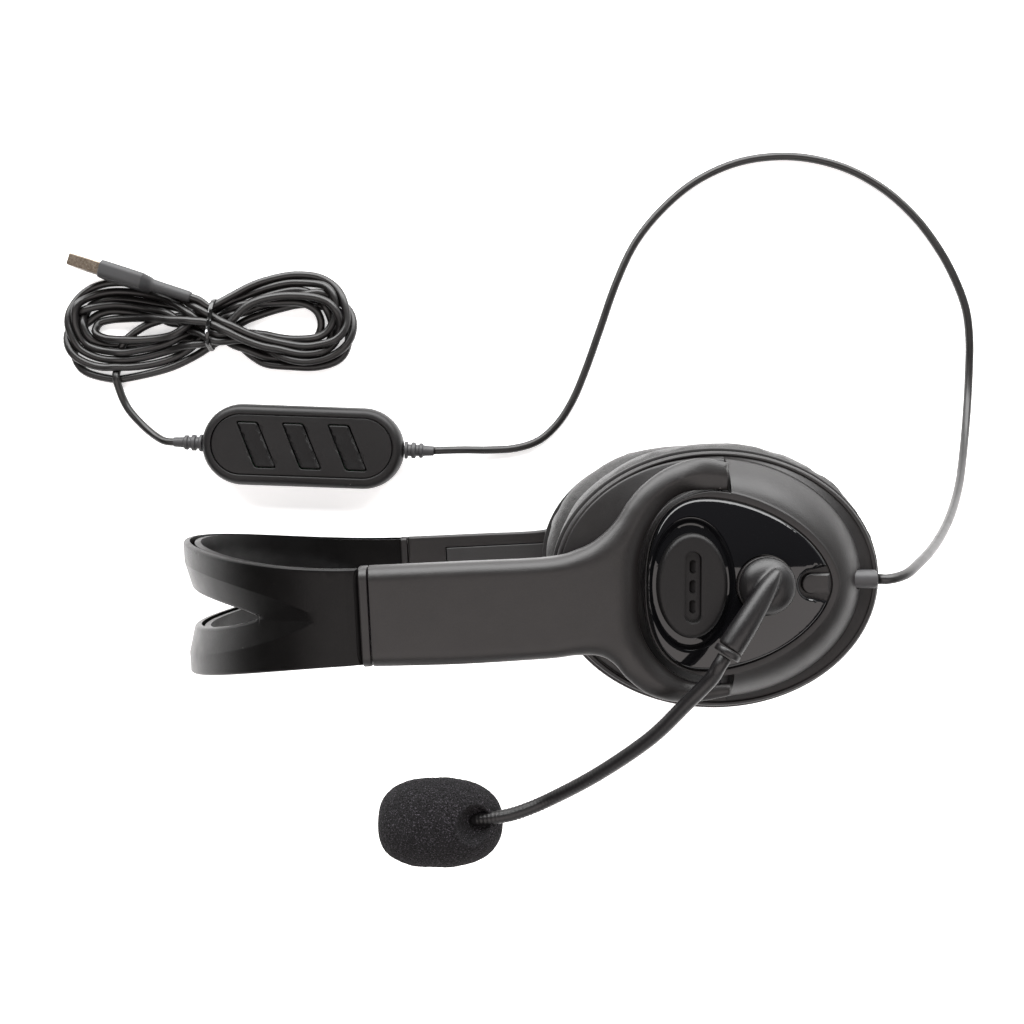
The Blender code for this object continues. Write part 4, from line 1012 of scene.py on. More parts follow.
def end_cap():
    """Frame at the band's end: the band's layers enter it from the crown."""
    rings = []
    for p, shrink in ((0.0, 0.45), (0.06, 0.22), (0.2, 0.06), (0.42, 0.0),
                      (CAP_LENGTH - 0.5, 0.0), (CAP_LENGTH - 0.25, 0.06),
                      (CAP_LENGTH - 0.08, 0.22), (CAP_LENGTH, 0.45)):
        rings.append(rounded_section(ARM_JOINT - GAP / 2 - p, HALF_WIDTH,
                                     HALF_WIDTH - CAP_DEPTH, 3.7, 1.6, shrink))
    return loft(rings)


BOX_FACES = [(3, 2, 1, 0), (4, 5, 6, 7), (0, 1, 5, 4), (1, 2, 6, 5), (2, 3, 7, 6), (3, 0, 4, 7)]


def blade_box(start, end, half, bottom, top):
    """Straight bar along the arm's line."""
    corners = [(start, -half), (end, -half), (end, half), (start, half)]
    low = [(*arm_xy(p, q), bottom) for p, q in corners]
    high = [(x, y, top) for x, y, w in low]
    return low + high, BOX_FACES


def build_headband():
    shell = headband_sheet(0.0, BAND_SHELL, 0.0, CREASE_SLOPE, 0.8, 0.8)
    add_piece("band_shell", "headband", "band", shell,
              ["headband_shell"], 1, 12.0)
    liner = headband_sheet(LINER_DEPTH, LINER_SHELL, 0.6, 0.2, 0.5, 0.0)
    add_piece("band_liner", "headband", "liner", liner,
              ["headband_liner"], 1, 14.0)
    for word, side in (("near", 1), ("far", -1)):
        add_piece(f"{word}_band_cap", "headband", "arm", end_cap(),
                  [f"band_end_cap_{word}"], side, 30.0)
        blade = blade_box(ARM_JOINT, ARM_JOINT + BLADE_REACH, BLADE_HALF,
                          BLADE_BOTTOM, BLADE_TOP)
        piece = add_piece(f"{word}_slider_blade", "headband", "steel", blade,
                          [f"slider_blade_{word}"], side, 30.0)
        soften(piece, 0.15, 2)


# --- arms and yokes -------------------------------------------------------------------

def yoke_share(x):
    return ease((x - YOKE_START_X) / (YOKE_END_X - YOKE_START_X))


def arm_outline(past=0.0):
    """Stem from the joint, the upper prong, the inner C and the lower prong.

    With past, all three ends reach that much further.
    """
    joint = ARM_JOINT + GAP / 2
    low_end = WALL_X_LOW - 2.4 * GAP
    upper_out, upper_in = UPPER_END_Y
    lower_out, lower_in = LOWER_END_Y
    upper = [arm_xy(joint, ARM_HALF), (-12.0, 31.1), (12.0, 32.3), (21.5, 34.8),
             (26.8, 37.9), (31.2, 42.3), (35.0, 48.0), (39.6, 53.0), (46.2, 57.4),
             (54.8, 60.0), (YOKE_END_X, upper_out)]
    inner = [(YOKE_END_X, upper_in), (57.5, 51.1), (51.6, 50.5), (46.5, 47.9),
             (42.2, 42.8), (39.2, 36.8), (37.7, 30.0), (37.6, 22.0), (38.0, 14.0),
             (40.0, 8.0), (44.0, 2.4), (50.0, -2.2), (56.5, -4.2), (low_end, lower_in)]
    lower = [(low_end, lower_out), (58.0, -8.7), (52.3, -9.3), (46.7, -8.9),
             (40.5, -6.6), (34.8, -2.2), (31.0, 2.2), (26.8, 4.6), (20.5, 4.9),
             (12.0, 3.9), (-12.0, 2.4), arm_xy(joint, -ARM_HALF_LOW)]
    ends = ([(YOKE_END_X + past, upper_out), (YOKE_END_X + past, upper_in)],
            [(low_end + past, lower_in), (low_end + past, lower_out)],
            [arm_xy(joint - past, -ARM_HALF_LOW), arm_xy(joint - past, ARM_HALF)])
    result = []
    for part, end in zip((upper, inner, lower), ends):
        result += [tuple(p) for p in even_path(part, 0.8)]
        result += end if past else []
    return result[::-1]


def arm_shape():
    """Arm with rounded sides and crisp ends, at the band's cap and the cup's walls."""
    outline, sides = arm_outline(), arm_outline(12.0)

    def place(points, edge, top):
        u, v = points[:, 0], points[:, 1]
        share = yoke_share(u)
        face = HALF_WIDTH - PRONG_DROP * share
        if top:
            width = SIDE_FILLET + 2.6 * ease((u - 14.0) / 22.0)
            scaled = np.clip(edge_distance(points, [sides]) / width, 0.0, 1.0)
            depth = SIDE_DROP - END_RELIEF * ease((u - 50.0) / 8.0)
            fall = depth * (1.0 - np.sqrt(1.0 - (1.0 - scaled) ** 2))
            return column(u, v, face - fall - round_over(arm_along(points), 0.35))
        under = face - ARM_THICK + (ARM_THICK - PRONG_THICK) * share
        return column(u, v, under + round_over(edge, ARM_UNDER_ROUND))

    dots = []
    for row in [0.12, 0.28] + round_rows(SIDE_FILLET, 9) + [5.4, 6.8]:
        found = np.array(inset(sides, row))
        clear = edge_distance(found, [outline]) > 0.9 * min(row, 0.5)
        dots += [tuple(p) for p in found[clear & inside(found, outline)]]
    for row in (0.05, 0.15, 0.35):
        dots += [arm_xy(ARM_JOINT + GAP / 2 + row, q)
                 for q in np.arange(0.4 - ARM_HALF_LOW, ARM_HALF - 0.3, 0.5)]
    return plate(outline, place, dots=dots, spacing=1.7)


def arm_along(points):
    """Distance from the arm's end face, along the arm's line."""
    c, s = math.cos(ARM_TILT), math.sin(ARM_TILT)
    return points[:, 0] * c + (points[:, 1] - ARM_LINE_Y) * s - ARM_JOINT - GAP / 2


def build_arm(word, side):
    body = f"{word}_arm"
    arm = make_object(f"{word}_arm_shell", arm_shape(), side)
    carve(arm, blade_box(ARM_JOINT - 2.0, ARM_JOINT + BLADE_REACH + 2.0, BLADE_HALF + GAP,
                         BLADE_BOTTOM - GAP, BLADE_TOP + GAP), side)
    carve(arm, blade_box(-22.9, 16.3, 9.3, HALF_WIDTH - ARM_THICK - 1.0, 65.3), side)
    height = HALF_WIDTH + side * HINGE_W
    for end, outer, tip in ROD_ENDS:
        step = math.copysign(GAP, outer - tip)
        carve(arm, tube([(HINGE_X, outer + step, height), (HINGE_X, tip - 5 * step, height)],
                        [ROD_RADIUS + 0.1] * 2, 32))
        pin = tube([(HINGE_X, outer - 0.6 * step, height), (HINGE_X, outer - step, height),
                    (HINGE_X, tip + step, height), (HINGE_X, tip + 0.6 * step, height)],
                   [ROD_RADIUS - 0.15, ROD_RADIUS, ROD_RADIUS, ROD_RADIUS - 0.15], 32)
        add_piece(f"{word}_pin_{end}", body, "pin", pin,
                  [f"{word}_hinge_pin_{end}"])
    finish_piece(arm, body, "arm", [f"{word}_arm"], 28.0)
    cover = blade_box(-22.6, 16.0, 9.0, HALF_WIDTH - ARM_THICK, 65.0)
    piece = add_piece(f"{word}_arm_inner_cover", body, "inner", cover,
                      [f"{word}_arm_cover"], side, 30.0)
    soften(piece, 0.4, 3)


# --- ear cups ----------------------------------------------------------------------------

def egg_point(t, grow):
    """Cover outline: a pointed oval to the right and a blunt one to the left."""
    c, s = math.cos(t), math.sin(t)
    exponent, reach = (1.75, EGG_RIGHT) if c >= 0 else (2.4, EGG_LEFT)
    grow = grow * (0.3 + 0.7 * float(ease((c + 0.4) / 0.6)))
    return (EGG_X + (reach + grow) * power(c, 2 / exponent),
            EGG_Y + (EGG_HALF + grow) * power(s, 2 / exponent))


def oval(a, b, x=CUP_X, y=CUP_Y):
    return lambda t: (x + a * math.cos(t), y + b * math.sin(t))


def lip(shrink, shrink_b=None):
    """Edge of the cup's flange, moved in by a distance."""
    return oval(LIP_A - shrink, LIP_B - (shrink if shrink_b is None else shrink_b), LIP_X, LIP_Y)


def egg(grow):
    return lambda t: egg_point(t, grow)


def mix_curve(share):
    """Between the foot of the shell's slope (0) and the bezel's edge (1)."""
    def curve(t):
        ax, ay = oval(BASE_A, BASE_B)(t)
        bx, by = egg_point(t, 2.7)
        return ax + (bx - ax) * share, ay + (by - ay) * share
    return curve


def wall_angle(curve, x, low, high):
    for _ in range(40):
        centre = (low + high) / 2
        if curve(centre)[0] > x:
            low = centre
        else:
            high = centre
    return (low + high) / 2


WALL_STEPS = ((0.0, 1.0), (0.0035, 0.96), (0.006, 0.85), (0.0085, 0.15), (0.011, 0.04),
              (0.0145, 0.0))


def shell_ring(curve, raised, sunk, shift=0.0):
    """Ring of a cup shell: its right part is raised, behind a wall at each hinge."""
    up = wall_angle(curve, WALL_X_UP + shift, 0.0, math.pi)
    low = wall_angle(curve, WALL_X_LOW + shift, 0.0, -math.pi)
    right = RIM // 2
    result = [(*curve(low + (up - low) * i / right), raised) for i in range(1, right)]
    result += [(*curve(up + nudge), sunk + (raised - sunk) * part) for nudge, part in WALL_STEPS]
    start, end = up + WALL_STEPS[-1][0], low + TURN - WALL_STEPS[-1][0]
    left = RIM - right
    result += [(*curve(start + (end - start) * i / left), sunk) for i in range(1, left)]
    result += [(*curve(low + TURN - nudge), sunk + (raised - sunk) * part)
               for nudge, part in reversed(WALL_STEPS)]
    return result


def rounded_rings(rings, radii, steps=4):
    """Rings with a fillet in place of each ring that has a radius."""
    arrays = [np.array(r, float) for r in rings]
    result = [arrays[0]]
    for i in range(1, len(arrays) - 1):
        before, here, after = arrays[i - 1], arrays[i], arrays[i + 1]
        radius = radii[i]
        if not radius:
            result.append(here)
            continue
        back, ahead = before - here, after - here
        back_size = np.maximum(np.linalg.norm(back, axis=1, keepdims=True), 1e-9)
        ahead_size = np.maximum(np.linalg.norm(ahead, axis=1, keepdims=True), 1e-9)
        one = here + back * np.minimum(radius / back_size, 0.45)
        two = here + ahead * np.minimum(radius / ahead_size, 0.45)
        result += corner_curve(one, here, two, steps)
    result.append(arrays[-1])
    return [[tuple(p) for p in each] for each in result]


def cup_shell_shape():
    slope = []
    for i in range(9):
        share = i / 8
        raised = 52.2 + 15.1 * share - 6.1 * share ** 2
        sunk = 50.8 + 3.0 * share + 0.8 * share ** 2
        slope.append(shell_ring(mix_curve(share), raised, sunk))
    flange = [shell_ring(lip(*shrink), w, w)
              for *shrink, w in ((0.0, 47.3), (0.0, 49.5), (0.6, 50.15), (1.5, 1.2, 50.15),
                                 (1.7, 1.35, 49.75), (2.0, 1.5, 49.85))]
    flange.append(shell_ring(oval(BASE_A + 0.3, BASE_B + 0.3), 50.7, 50.3))
    bezel = [shell_ring(egg(2.2), BEZEL_TOP, BEZEL_TOP),
             shell_ring(egg(0.35), BEZEL_TOP, BEZEL_TOP),
             shell_ring(egg(0.30), 60.5, 60.5)]
    rings = flange + slope + bezel
    radii = [0, 0.5, 0.3, 0.3, 0.15, 0.2, 0.5] + [0.0] * 8 + [0.35, 0.35, 0.2, 0]
    radii[7] = 0.5
    outer = rounded_rings(rings, radii)
    wall = 1.8
    inner = [shell_ring(egg(-1.6), 58.8, 58.8, wall), shell_ring(egg(-1.2), 58.0, 52.8, wall),
             shell_ring(mix_curve(0.45), 55.6, 50.6, wall),
             shell_ring(oval(BASE_A - 0.6, BASE_B - 0.6), 50.4, 49.0, wall),
             shell_ring(lip(1.8), 47.3, 47.3, wall)]
    return bowl(outer, inner)


def bowl(outer, inner):
    """Outer rings up to a closed top, inner rings from a closed ceiling down."""
    rings = outer + inner
    top = len(outer) - 1
    points = [tuple(p) for each in rings for p in each]
    pairs = [(a, (a + 1) % len(rings)) for a in range(len(rings)) if a != top]
    faces = ring_quads(pairs, len(outer[0]))
    close_end(points, faces, rings, top, 1)
    close_end(points, faces, rings, top + 1, -1)
    return points, faces


def cover_height(u, v):
    """Domed face of the gloss cover."""
    across = ((v - EGG_Y) / EGG_HALF) ** 2
    right = ((u - EGG_X) / EGG_RIGHT) ** 2
    left = 0.25 * ((EGG_X - u) / EGG_LEFT) ** 2
    return COVER_CROWN - 4.0 * np.minimum(1.0, across + np.where(u > EGG_X, right, left))


def tongue_loop(grow):
    """The tab at the cover's right end, or the notch round it."""
    half = 2.9 + grow
    left = 84.0 - grow
    arc = [(left + half * (1 - math.cos(t)), 24.6 + half * math.sin(t))
           for t in (math.pi * (i / 24 - 0.5) for i in range(25))]
    return arc[::-1]


def notch_outline():
    """The egg with the notch taken out of its right end."""
    count = 300
    egg_loop = [egg_point(TURN * (i + 0.5) / count, 0.0) for i in range(count)]
    notch = tongue_loop(1.2)
    right = egg_loop[0][0] + 3.0
    area = [(right, notch[0][1] + 0.9)] + notch + [(right, notch[-1][1] - 0.9)]
    kept = [p for p, cut in zip(egg_loop, inside(np.array(egg_loop), area)) if not cut]
    start = max(range(len(kept)), key=lambda i: math.dist(kept[i], kept[i - 1]))
    kept = kept[start:] + kept[:start]
    edge = area[1:-1]
    if math.dist(kept[-1], edge[0]) > math.dist(kept[-1], edge[-1]):
        edge = edge[::-1]
    return kept + edge


def oval_reach(u, v, x, y, a, b):
    return np.hypot((u - x) / a, (v - y) / b)


def cover_shape(with_hub):
    outline = notch_outline()
    mean = (MOAT_A + MOAT_B) / 2
    lines = [oval_loop(MOAT_A * (1 - away / mean), MOAT_B * (1 - away / mean), 160,
                       BADGE_X, BADGE_Y)
             for away in (-0.15, 0.0, 0.12, 0.25, 0.45, 0.75, 1.1, 1.5, 2.0)]
    if with_hub:
        lines += [oval_loop(HUB_RADIUS + step, HUB_RADIUS + step, 64, HUB_X, HUB_Y)
                  for step in (0.5, 0.6)]

    def place(points, edge, top):
        u, v = points[:, 0], points[:, 1]
        if not top:
            return column(u, v, 60.9 + 1.2 * ease((edge - 1.0) / 2.0))
        face = np.maximum(cover_height(u, v) - round_over(edge, 0.9), COVER_CROWN - 4.9)
        reach = oval_reach(u, v, BADGE_X, BADGE_Y, MOAT_A, MOAT_B)
        away = (1.0 - reach) * mean
        face = face - 0.30 * ease(away / 0.25) - 1.6 * ease(away / 2.0)
        if with_hub:
            hub = np.hypot(u - HUB_X, v - HUB_Y)
            face = np.where(hub < HUB_RADIUS + 0.55, 64.0, face)
        return column(u, v, face)

    dots = []
    for row in [0.15] + round_rows(0.9, 5) + [1.5]:
        dots += inset(outline, row)
    return plate(outline, place, lines=lines, dots=dots, spacing=0.85)


def stadium(x, y, half_width, half_height, steps):
    """Upright loop with round ends."""
    straight = half_height - half_width
    result = []
    for end in (1, -1):
        for i in range(steps + 1):
            t = math.pi * (i / steps) + (0 if end > 0 else math.pi)
            result.append((x + half_width * math.cos(t),
                           y + end * straight + half_width * math.sin(t)))
    return result


def badge_shape():
    outline = oval_loop(BADGE_A, BADGE_B, 160, BADGE_X, BADGE_Y)
    slot_x, slot_y = BADGE_SLOT
    rim, slot, foot = (stadium(slot_x, slot_y, half, tall, 20)
                       for half, tall in ((2.6, 10.3), (2.2, 9.9), (1.95, 9.65)))
    windows = [stadium(slot_x, slot_y + step, 0.95, 1.9, 10) for step in WINDOW_STEPS]
    lines = [rim, slot, foot]
    for step, window in zip(WINDOW_STEPS, windows):
        lines += [window, stadium(slot_x, slot_y + step, 0.80, 1.75, 10)]

    def place(points, edge, top):
        u, v = points[:, 0], points[:, 1]
        if not top:
            return column(u, v, 64.7)
        face = BADGE_TOP - round_over(edge, 1.4) - 0.4 * np.maximum(0.0, 1 - edge / 9.0)
        face = face - 0.18 * (inside(points, rim) & (edge_distance(points, [rim]) > 0.05)) \
            * (1 - np.clip(edge_distance(points, [slot]) / 0.42, 0.0, 1.0))
        in_slot = inside(points, slot) & (edge_distance(points, [slot]) > 0.12)
        face = np.where(in_slot, BADGE_TOP - SLOT_DEPTH, face)
        for window in windows:
            deep = inside(points, window) & (edge_distance(points, [window]) > 0.08)
            face = np.where(deep, BADGE_TOP - WINDOW_DEPTH + WINDOW_TILT * (u - slot_x), face)
        return column(u, v, face)

    dots = []
    for row in [0.1] + round_rows(1.4, 7):
        dots += inset(outline, row)
    return plate(outline, place, lines=lines, dots=dots, spacing=0.8)


def disc_shape(profile, sides, x=CUP_X, y=CUP_Y):
    """Turned piece from (radius, w) pairs, closed on its axis at both ends."""
    return loft([ring(r, r, w, sides, x, y) for r, w in profile])


def turned_ring(profile, sides, x=CUP_X, y=CUP_Y):
    return loft([ring(r, r, w, sides, x, y) for r, w in profile], joined=True)


def rounded_profile(profile, radius, steps=4, closed=False):
    """Turned profile with its corners rounded."""
    points = [np.array(p, float) for p in profile]
    count = len(points)
    result = []
    for i, here in enumerate(points):
        if not closed and i in (0, count - 1):
            result.append((float(here[0]), float(here[1])))
            continue
        back, ahead = points[i - 1] - here, points[(i + 1) % count] - here
        one = here + back * min(radius / np.linalg.norm(back), 0.45)
        two = here + ahead * min(radius / np.linalg.norm(ahead), 0.45)
        result += [tuple(p) for p in corner_curve(one, here, two, steps)]
    return result


def cushion_shape(shrink):
    """Padded ring before it is blown up: an oval tube with a squarish section."""
    rings = []
    for i in range(56):
        t = TURN * i / 56
        out, up = power(math.cos(t), 0.72), power(math.sin(t), 0.72)
        a = (CUSHION_A + EAR_A) / 2 + out * ((CUSHION_A - EAR_A) / 2 - shrink)
        b = (CUSHION_B + EAR_B) / 2 + out * ((CUSHION_B - EAR_B) / 2 - shrink)
        w = ((CUSHION_BACK + CUSHION_FACE) / 2
             - up * ((CUSHION_BACK - CUSHION_FACE) / 2 - shrink))
        rings.append(ring(a, b, w, 150, CUSHION_X, CUSHION_Y))
    return loft(rings, joined=True)


def inflate(piece, reach):
    """Blow a closed mesh up as cloth, and keep every point within reach of its start."""
    remesh = piece.modifiers.new("remesh", "REMESH")
    remesh.mode = "VOXEL"
    remesh.voxel_size = 2.6 * MM
    bake_modifiers(piece)
    start = np.array([v.co for v in piece.data.vertices])
    cloth = piece.modifiers.new("cloth", "CLOTH")
    cloth.settings.quality = 5
    cloth.settings.mass = 0.2
    cloth.settings.tension_stiffness = 12.0
    cloth.settings.compression_stiffness = 6.0
    cloth.settings.bending_stiffness = 0.3
    cloth.settings.use_pressure = True
    cloth.settings.uniform_pressure_force = 4.0
    cloth.settings.effector_weights.gravity = 0.0
    cloth.point_cache.frame_start = 1
    cloth.point_cache.frame_end = 20
    for moment in range(1, 21):
        bpy.context.scene.frame_set(moment)
    graph = bpy.context.evaluated_depsgraph_get()
    blown = np.array([v.co for v in piece.evaluated_get(graph).data.vertices])
    bpy.context.scene.frame_set(1)
    piece.modifiers.clear()
    move = blown - start
    far = np.linalg.norm(move, axis=1, keepdims=True)
    move *= np.minimum(1.0, reach * MM / np.maximum(far, 1e-9))
    piece.data.vertices.foreach_set("co", (start + move).ravel())
    piece.data.update()


def build_cushion(word, side):
    shrink = 1.1
    piece = make_object(f"{word}_cushion", cushion_shape(shrink), side)
    inflate(piece, 1.0)
    smooth = piece.modifiers.new("even", "SMOOTH")
    smooth.iterations = 3
    finer = piece.modifiers.new("finer", "SUBSURF")
    finer.levels = 1
    bake_modifiers(piece)
    dress_cushion(piece, side)
    finish_piece(piece, f"{word}_cup", "leather",
                 [f"{word}_ear_cushion"], 0)


def dress_cushion(piece, side):
    """Seam, puckers and folds, and limits at the baffle and the outer size."""
    points = np.array([v.co for v in piece.data.vertices]) / MM
    points[:, :2] -= np.array(ORIGIN)
    w = side * (points[:, 2] - HALF_WIDTH)
    middle_point = np.array((CUSHION_X, CUSHION_Y))
    dx, dy = (points[:, :2] - middle_point).T
    angle = np.arctan2(dy / CUSHION_B, dx / CUSHION_A)
    mean_a, mean_b = (CUSHION_A + EAR_A) / 2, (CUSHION_B + EAR_B) / 2
    outward = np.stack([dx / CUSHION_A ** 2, dy / CUSHION_B ** 2], 1)
    outward /= np.maximum(np.linalg.norm(outward, axis=1, keepdims=True), 1e-9)
    seam_w = CUSHION_BACK - 4.4
    outside = np.clip((np.hypot(dx / mean_a, dy / mean_b) - 1.02) * 12.0, 0.0, 1.0)
    groove = np.exp(-((w - seam_w) / 0.75) ** 2)
    ripple = np.array([noise.noise(Vector((math.cos(t) * 9.0, math.sin(t) * 9.0, h * 0.16)))
                       for t, h in zip(angle, w)])
    coarse = np.array([noise.noise(Vector((math.cos(t) * 3.4, math.sin(t) * 3.4, h * 0.05 + 7.0)))
                       for t, h in zip(angle, w)])
    near_seam = np.exp(-((w - seam_w + 1.5) / 4.5) ** 2)
    push = outside * (-0.9 * groove + 0.85 * ripple * near_seam + 0.5 * coarse)
    points[:, :2] += outward * push[:, None]
    off = points[:, :2] - middle_point
    over = np.maximum(np.hypot(off[:, 0] / CUSHION_A, off[:, 1] / CUSHION_B), 1.0)[:, None]
    points[:, :2] = off / over + middle_point
    w = np.clip(w + 0.25 * coarse * (1 - outside), CUSHION_FACE, CUSHION_BACK)
    points[:, 2] = HALF_WIDTH + side * w
    points[:, :2] += np.array(ORIGIN)
    piece.data.vertices.foreach_set("co", (points * MM).ravel())
    piece.data.update()


def cloth_shape():
    """Thin cloth across the cushion's hole, bulging a little."""
    rings = []
    for top in (False, True):
        order = range(24, 0, -1) if not top else range(1, 25)
        for i in order:
            share = i / 24
            bulge = 0.9 * (1 - share ** 2)
            w = 43.9 - bulge if not top else 43.6 - bulge
            rings.append(ring((EAR_A - 0.6) * share, (EAR_B - 0.6) * share, w, 96,
                              CUSHION_X, CUSHION_Y))
    return loft(rings[::-1])


def build_cup(word, side):
    body = f"{word}_cup"
    shell = make_object(f"{word}_shell", cup_shell_shape(), side)
    height = HALF_WIDTH + side * HINGE_W
    for start, stop in ((57.0, 49.0), (-7.0, 0.0)):
        carve(shell, tube([(HINGE_X, start, height), (HINGE_X, stop, height)],
                          [ROD_RADIUS + GAP] * 2, 32))
    if side > 0:
        middle_height = HALF_WIDTH + GLAND_W
        carve(shell, tube([(93.0, CUP_Y, middle_height), (112.0, CUP_Y, middle_height)],
                          [3.0] * 2, 40))
    finish_piece(shell, body, "satin", [f"{word}_cup_shell"], 32.0)
    add_piece(f"{word}_cover", body, "gloss", cover_shape(side > 0),
              [f"{word}_gloss_cover"], side, 24.0)
    arc = tongue_loop(0.0)
    outline = [(91.9, arc[0][1])] + arc + [(91.9, arc[-1][1])]
    rows = [d for r in round_rows(0.5, 4) for d in inset(outline, r)]
    tab = plate(outline, lambda p, e, top: column(
        p[:, 0], p[:, 1], 62.3 - round_over(e, 0.5) if top else 60.9), dots=rows, spacing=0.8)
    add_piece(f"{word}_tab", body, "satin", tab,
              [f"{word}_cover_tab"], side)
    add_piece(f"{word}_cup_badge", body, "badge", badge_shape(),
              [f"{word}_badge"], side, 24.0)
    hole = 18.0
    low, high = (ring(LIP_A + 1.0, LIP_B + 1.0, w, 160, LIP_X, LIP_Y)
                 for w in (CUSHION_BACK + GAP, 47.0))
    rim = [low, ring(hole, hole, CUSHION_BACK + GAP, 160), ring(hole, hole, 47.0, 160), high]
    baffle = add_piece(f"{word}_cup_baffle", body, "inner",
                       loft(rim, joined=True), [f"{word}_baffle"], side, 30.0)
    soften(baffle, 0.3, 3)
    frame_profile = [(19.6, 47.3), (19.6, 49.2), (13.0, 53.0), (9.6, 53.2),
                     (9.6, 52.0), (12.4, 51.8), (18.0, 48.4), (18.0, 47.3)]
    add_piece(f"{word}_driver_basket", body, "inner",
              turned_ring(rounded_profile(frame_profile, 0.3, closed=True), 96),
              [f"{word}_driver_frame"], side)
    magnet = rounded_profile([(4.0, 53.5), (9.2, 53.5), (9.2, 58.0), (4.0, 58.0)], 0.4)
    add_piece(f"{word}_magnet", body, "steel", disc_shape(magnet, 72),
              [f"{word}_driver_magnet"], side)
    film_profile = rounded_profile([(1.0, 45.7), (4.0, 45.9), (9.0, 46.6), (12.0, 45.8),
                                    (17.4, 46.0), (17.4, 46.6), (12.0, 46.4), (9.0, 47.2),
                                    (4.0, 46.5), (1.0, 46.3)], 0.8)
    add_piece(f"{word}_driver_film", body, "film",
              disc_shape(film_profile, 96), [f"{word}_diaphragm"], side)
    build_cushion(word, side)
    add_piece(f"{word}_cloth", body, "cloth", cloth_shape(),
              [f"{word}_ear_cloth"], side, 60.0)


# --- microphone -----------------------------------------------------------------------

def build_microphone():
    socket = rounded_profile([(HUB_RADIUS - 2.0, 64.3), (HUB_RADIUS + 0.2, 64.3),
                              (HUB_RADIUS + 0.2, 66.9), (HUB_RADIUS - 2.0, 66.9)], 0.25)
    add_piece("boom_socket", "near_cup", "satin",
              disc_shape(socket, 96, HUB_X, HUB_Y), ["mic_socket"], 1)

    dome = smooth_path([(HUB_RADIUS, 68.2), (7.6, 69.0), (6.2, 70.3), (4.0, 71.3),
                        (1.6, 71.8), (0.2, 71.9)], 5)
    dome = [(3.0, 67.2), (HUB_RADIUS - 0.3, 67.2), (HUB_RADIUS, 67.6)] + dome
    base = make_object("boom_hub", disc_shape(dome, 96, HUB_X, HUB_Y), 1)
    spine = [(75.5, 29.6, 71.2), (74.2, 27.6, 71.7), (72.2, 24.6, 72.4), (69.2, 19.9, 73.2),
             (65.2, 13.7, 74.1), (61.6, 8.1, 74.5)]
    spine = [(x, y, HALF_WIDTH + w) for x, y, w in even_path(spine, 0.8)]
    reach = [clamp(path_length(spine[:i + 1]) / 24.0) if i else 0.0 for i in range(len(spine))]
    radii = [0.45 + 3.2 * math.sqrt(1.0 - (1.0 - share) ** 2) for share in reach]
    carve(base, tube(spine, radii, 48), None, "UNION")
    remesh = base.modifiers.new("remesh", "REMESH")
    remesh.mode = "VOXEL"
    remesh.voxel_size = 0.33 * MM
    blend = base.modifiers.new("blend", "CORRECTIVE_SMOOTH")
    blend.smooth_type = "SIMPLE"
    blend.iterations = 10
    blend.use_only_smooth = True
    bake_modifiers(base)
    finish_piece(base, "mic_boom", "boom", ["boom_base"], 0)

    along = (Vector(spine[-1]) - Vector(spine[-2])).normalized()
    start = Vector(spine[-1]) + along * GAP
    steps = ((0.0, 3.45), (0.12, 3.68), (0.35, 3.8), (1.45, 3.8), (1.68, 3.68), (1.8, 3.45))
    collar = tube([start + along * s for s, r in steps], [r for s, r in steps], 64)
    add_piece("boom_ring", "mic_boom", "boom", collar,
              ["boom_collar"])

    first = start + along * (1.8 + 2 * GAP)
    route = [tuple(first), tuple(first + along * 3.0)]
    route += [(x, y, HALF_WIDTH + w) for x, y, w in (
        (56.6, -0.6, 73.0), (50.3, -8.2, 69.6), (41.2, -19.3, 63.0), (27.3, -32.1, 52.5),
        (13.6, -42.3, 42.9), (4.6, -46.6, 41.2), (-1.6, -48.4, 40.4), (-8.0, -49.8, 38.2),
        (-11.6, -50.6, 35.4))]
    path = even_path(route, 0.42)
    ribs = [BOOM_RADIUS - (0.02 + 0.14 * (i / len(path)) ** 2 if i % 3 == 0 else 0.0)
            for i in range(len(path))]
    add_piece("boom_neck", "mic_boom", "boom",
              tube([tuple(p) for p in path], ribs, 28), ["boom_gooseneck"], sharp=0)
    build_windscreen()


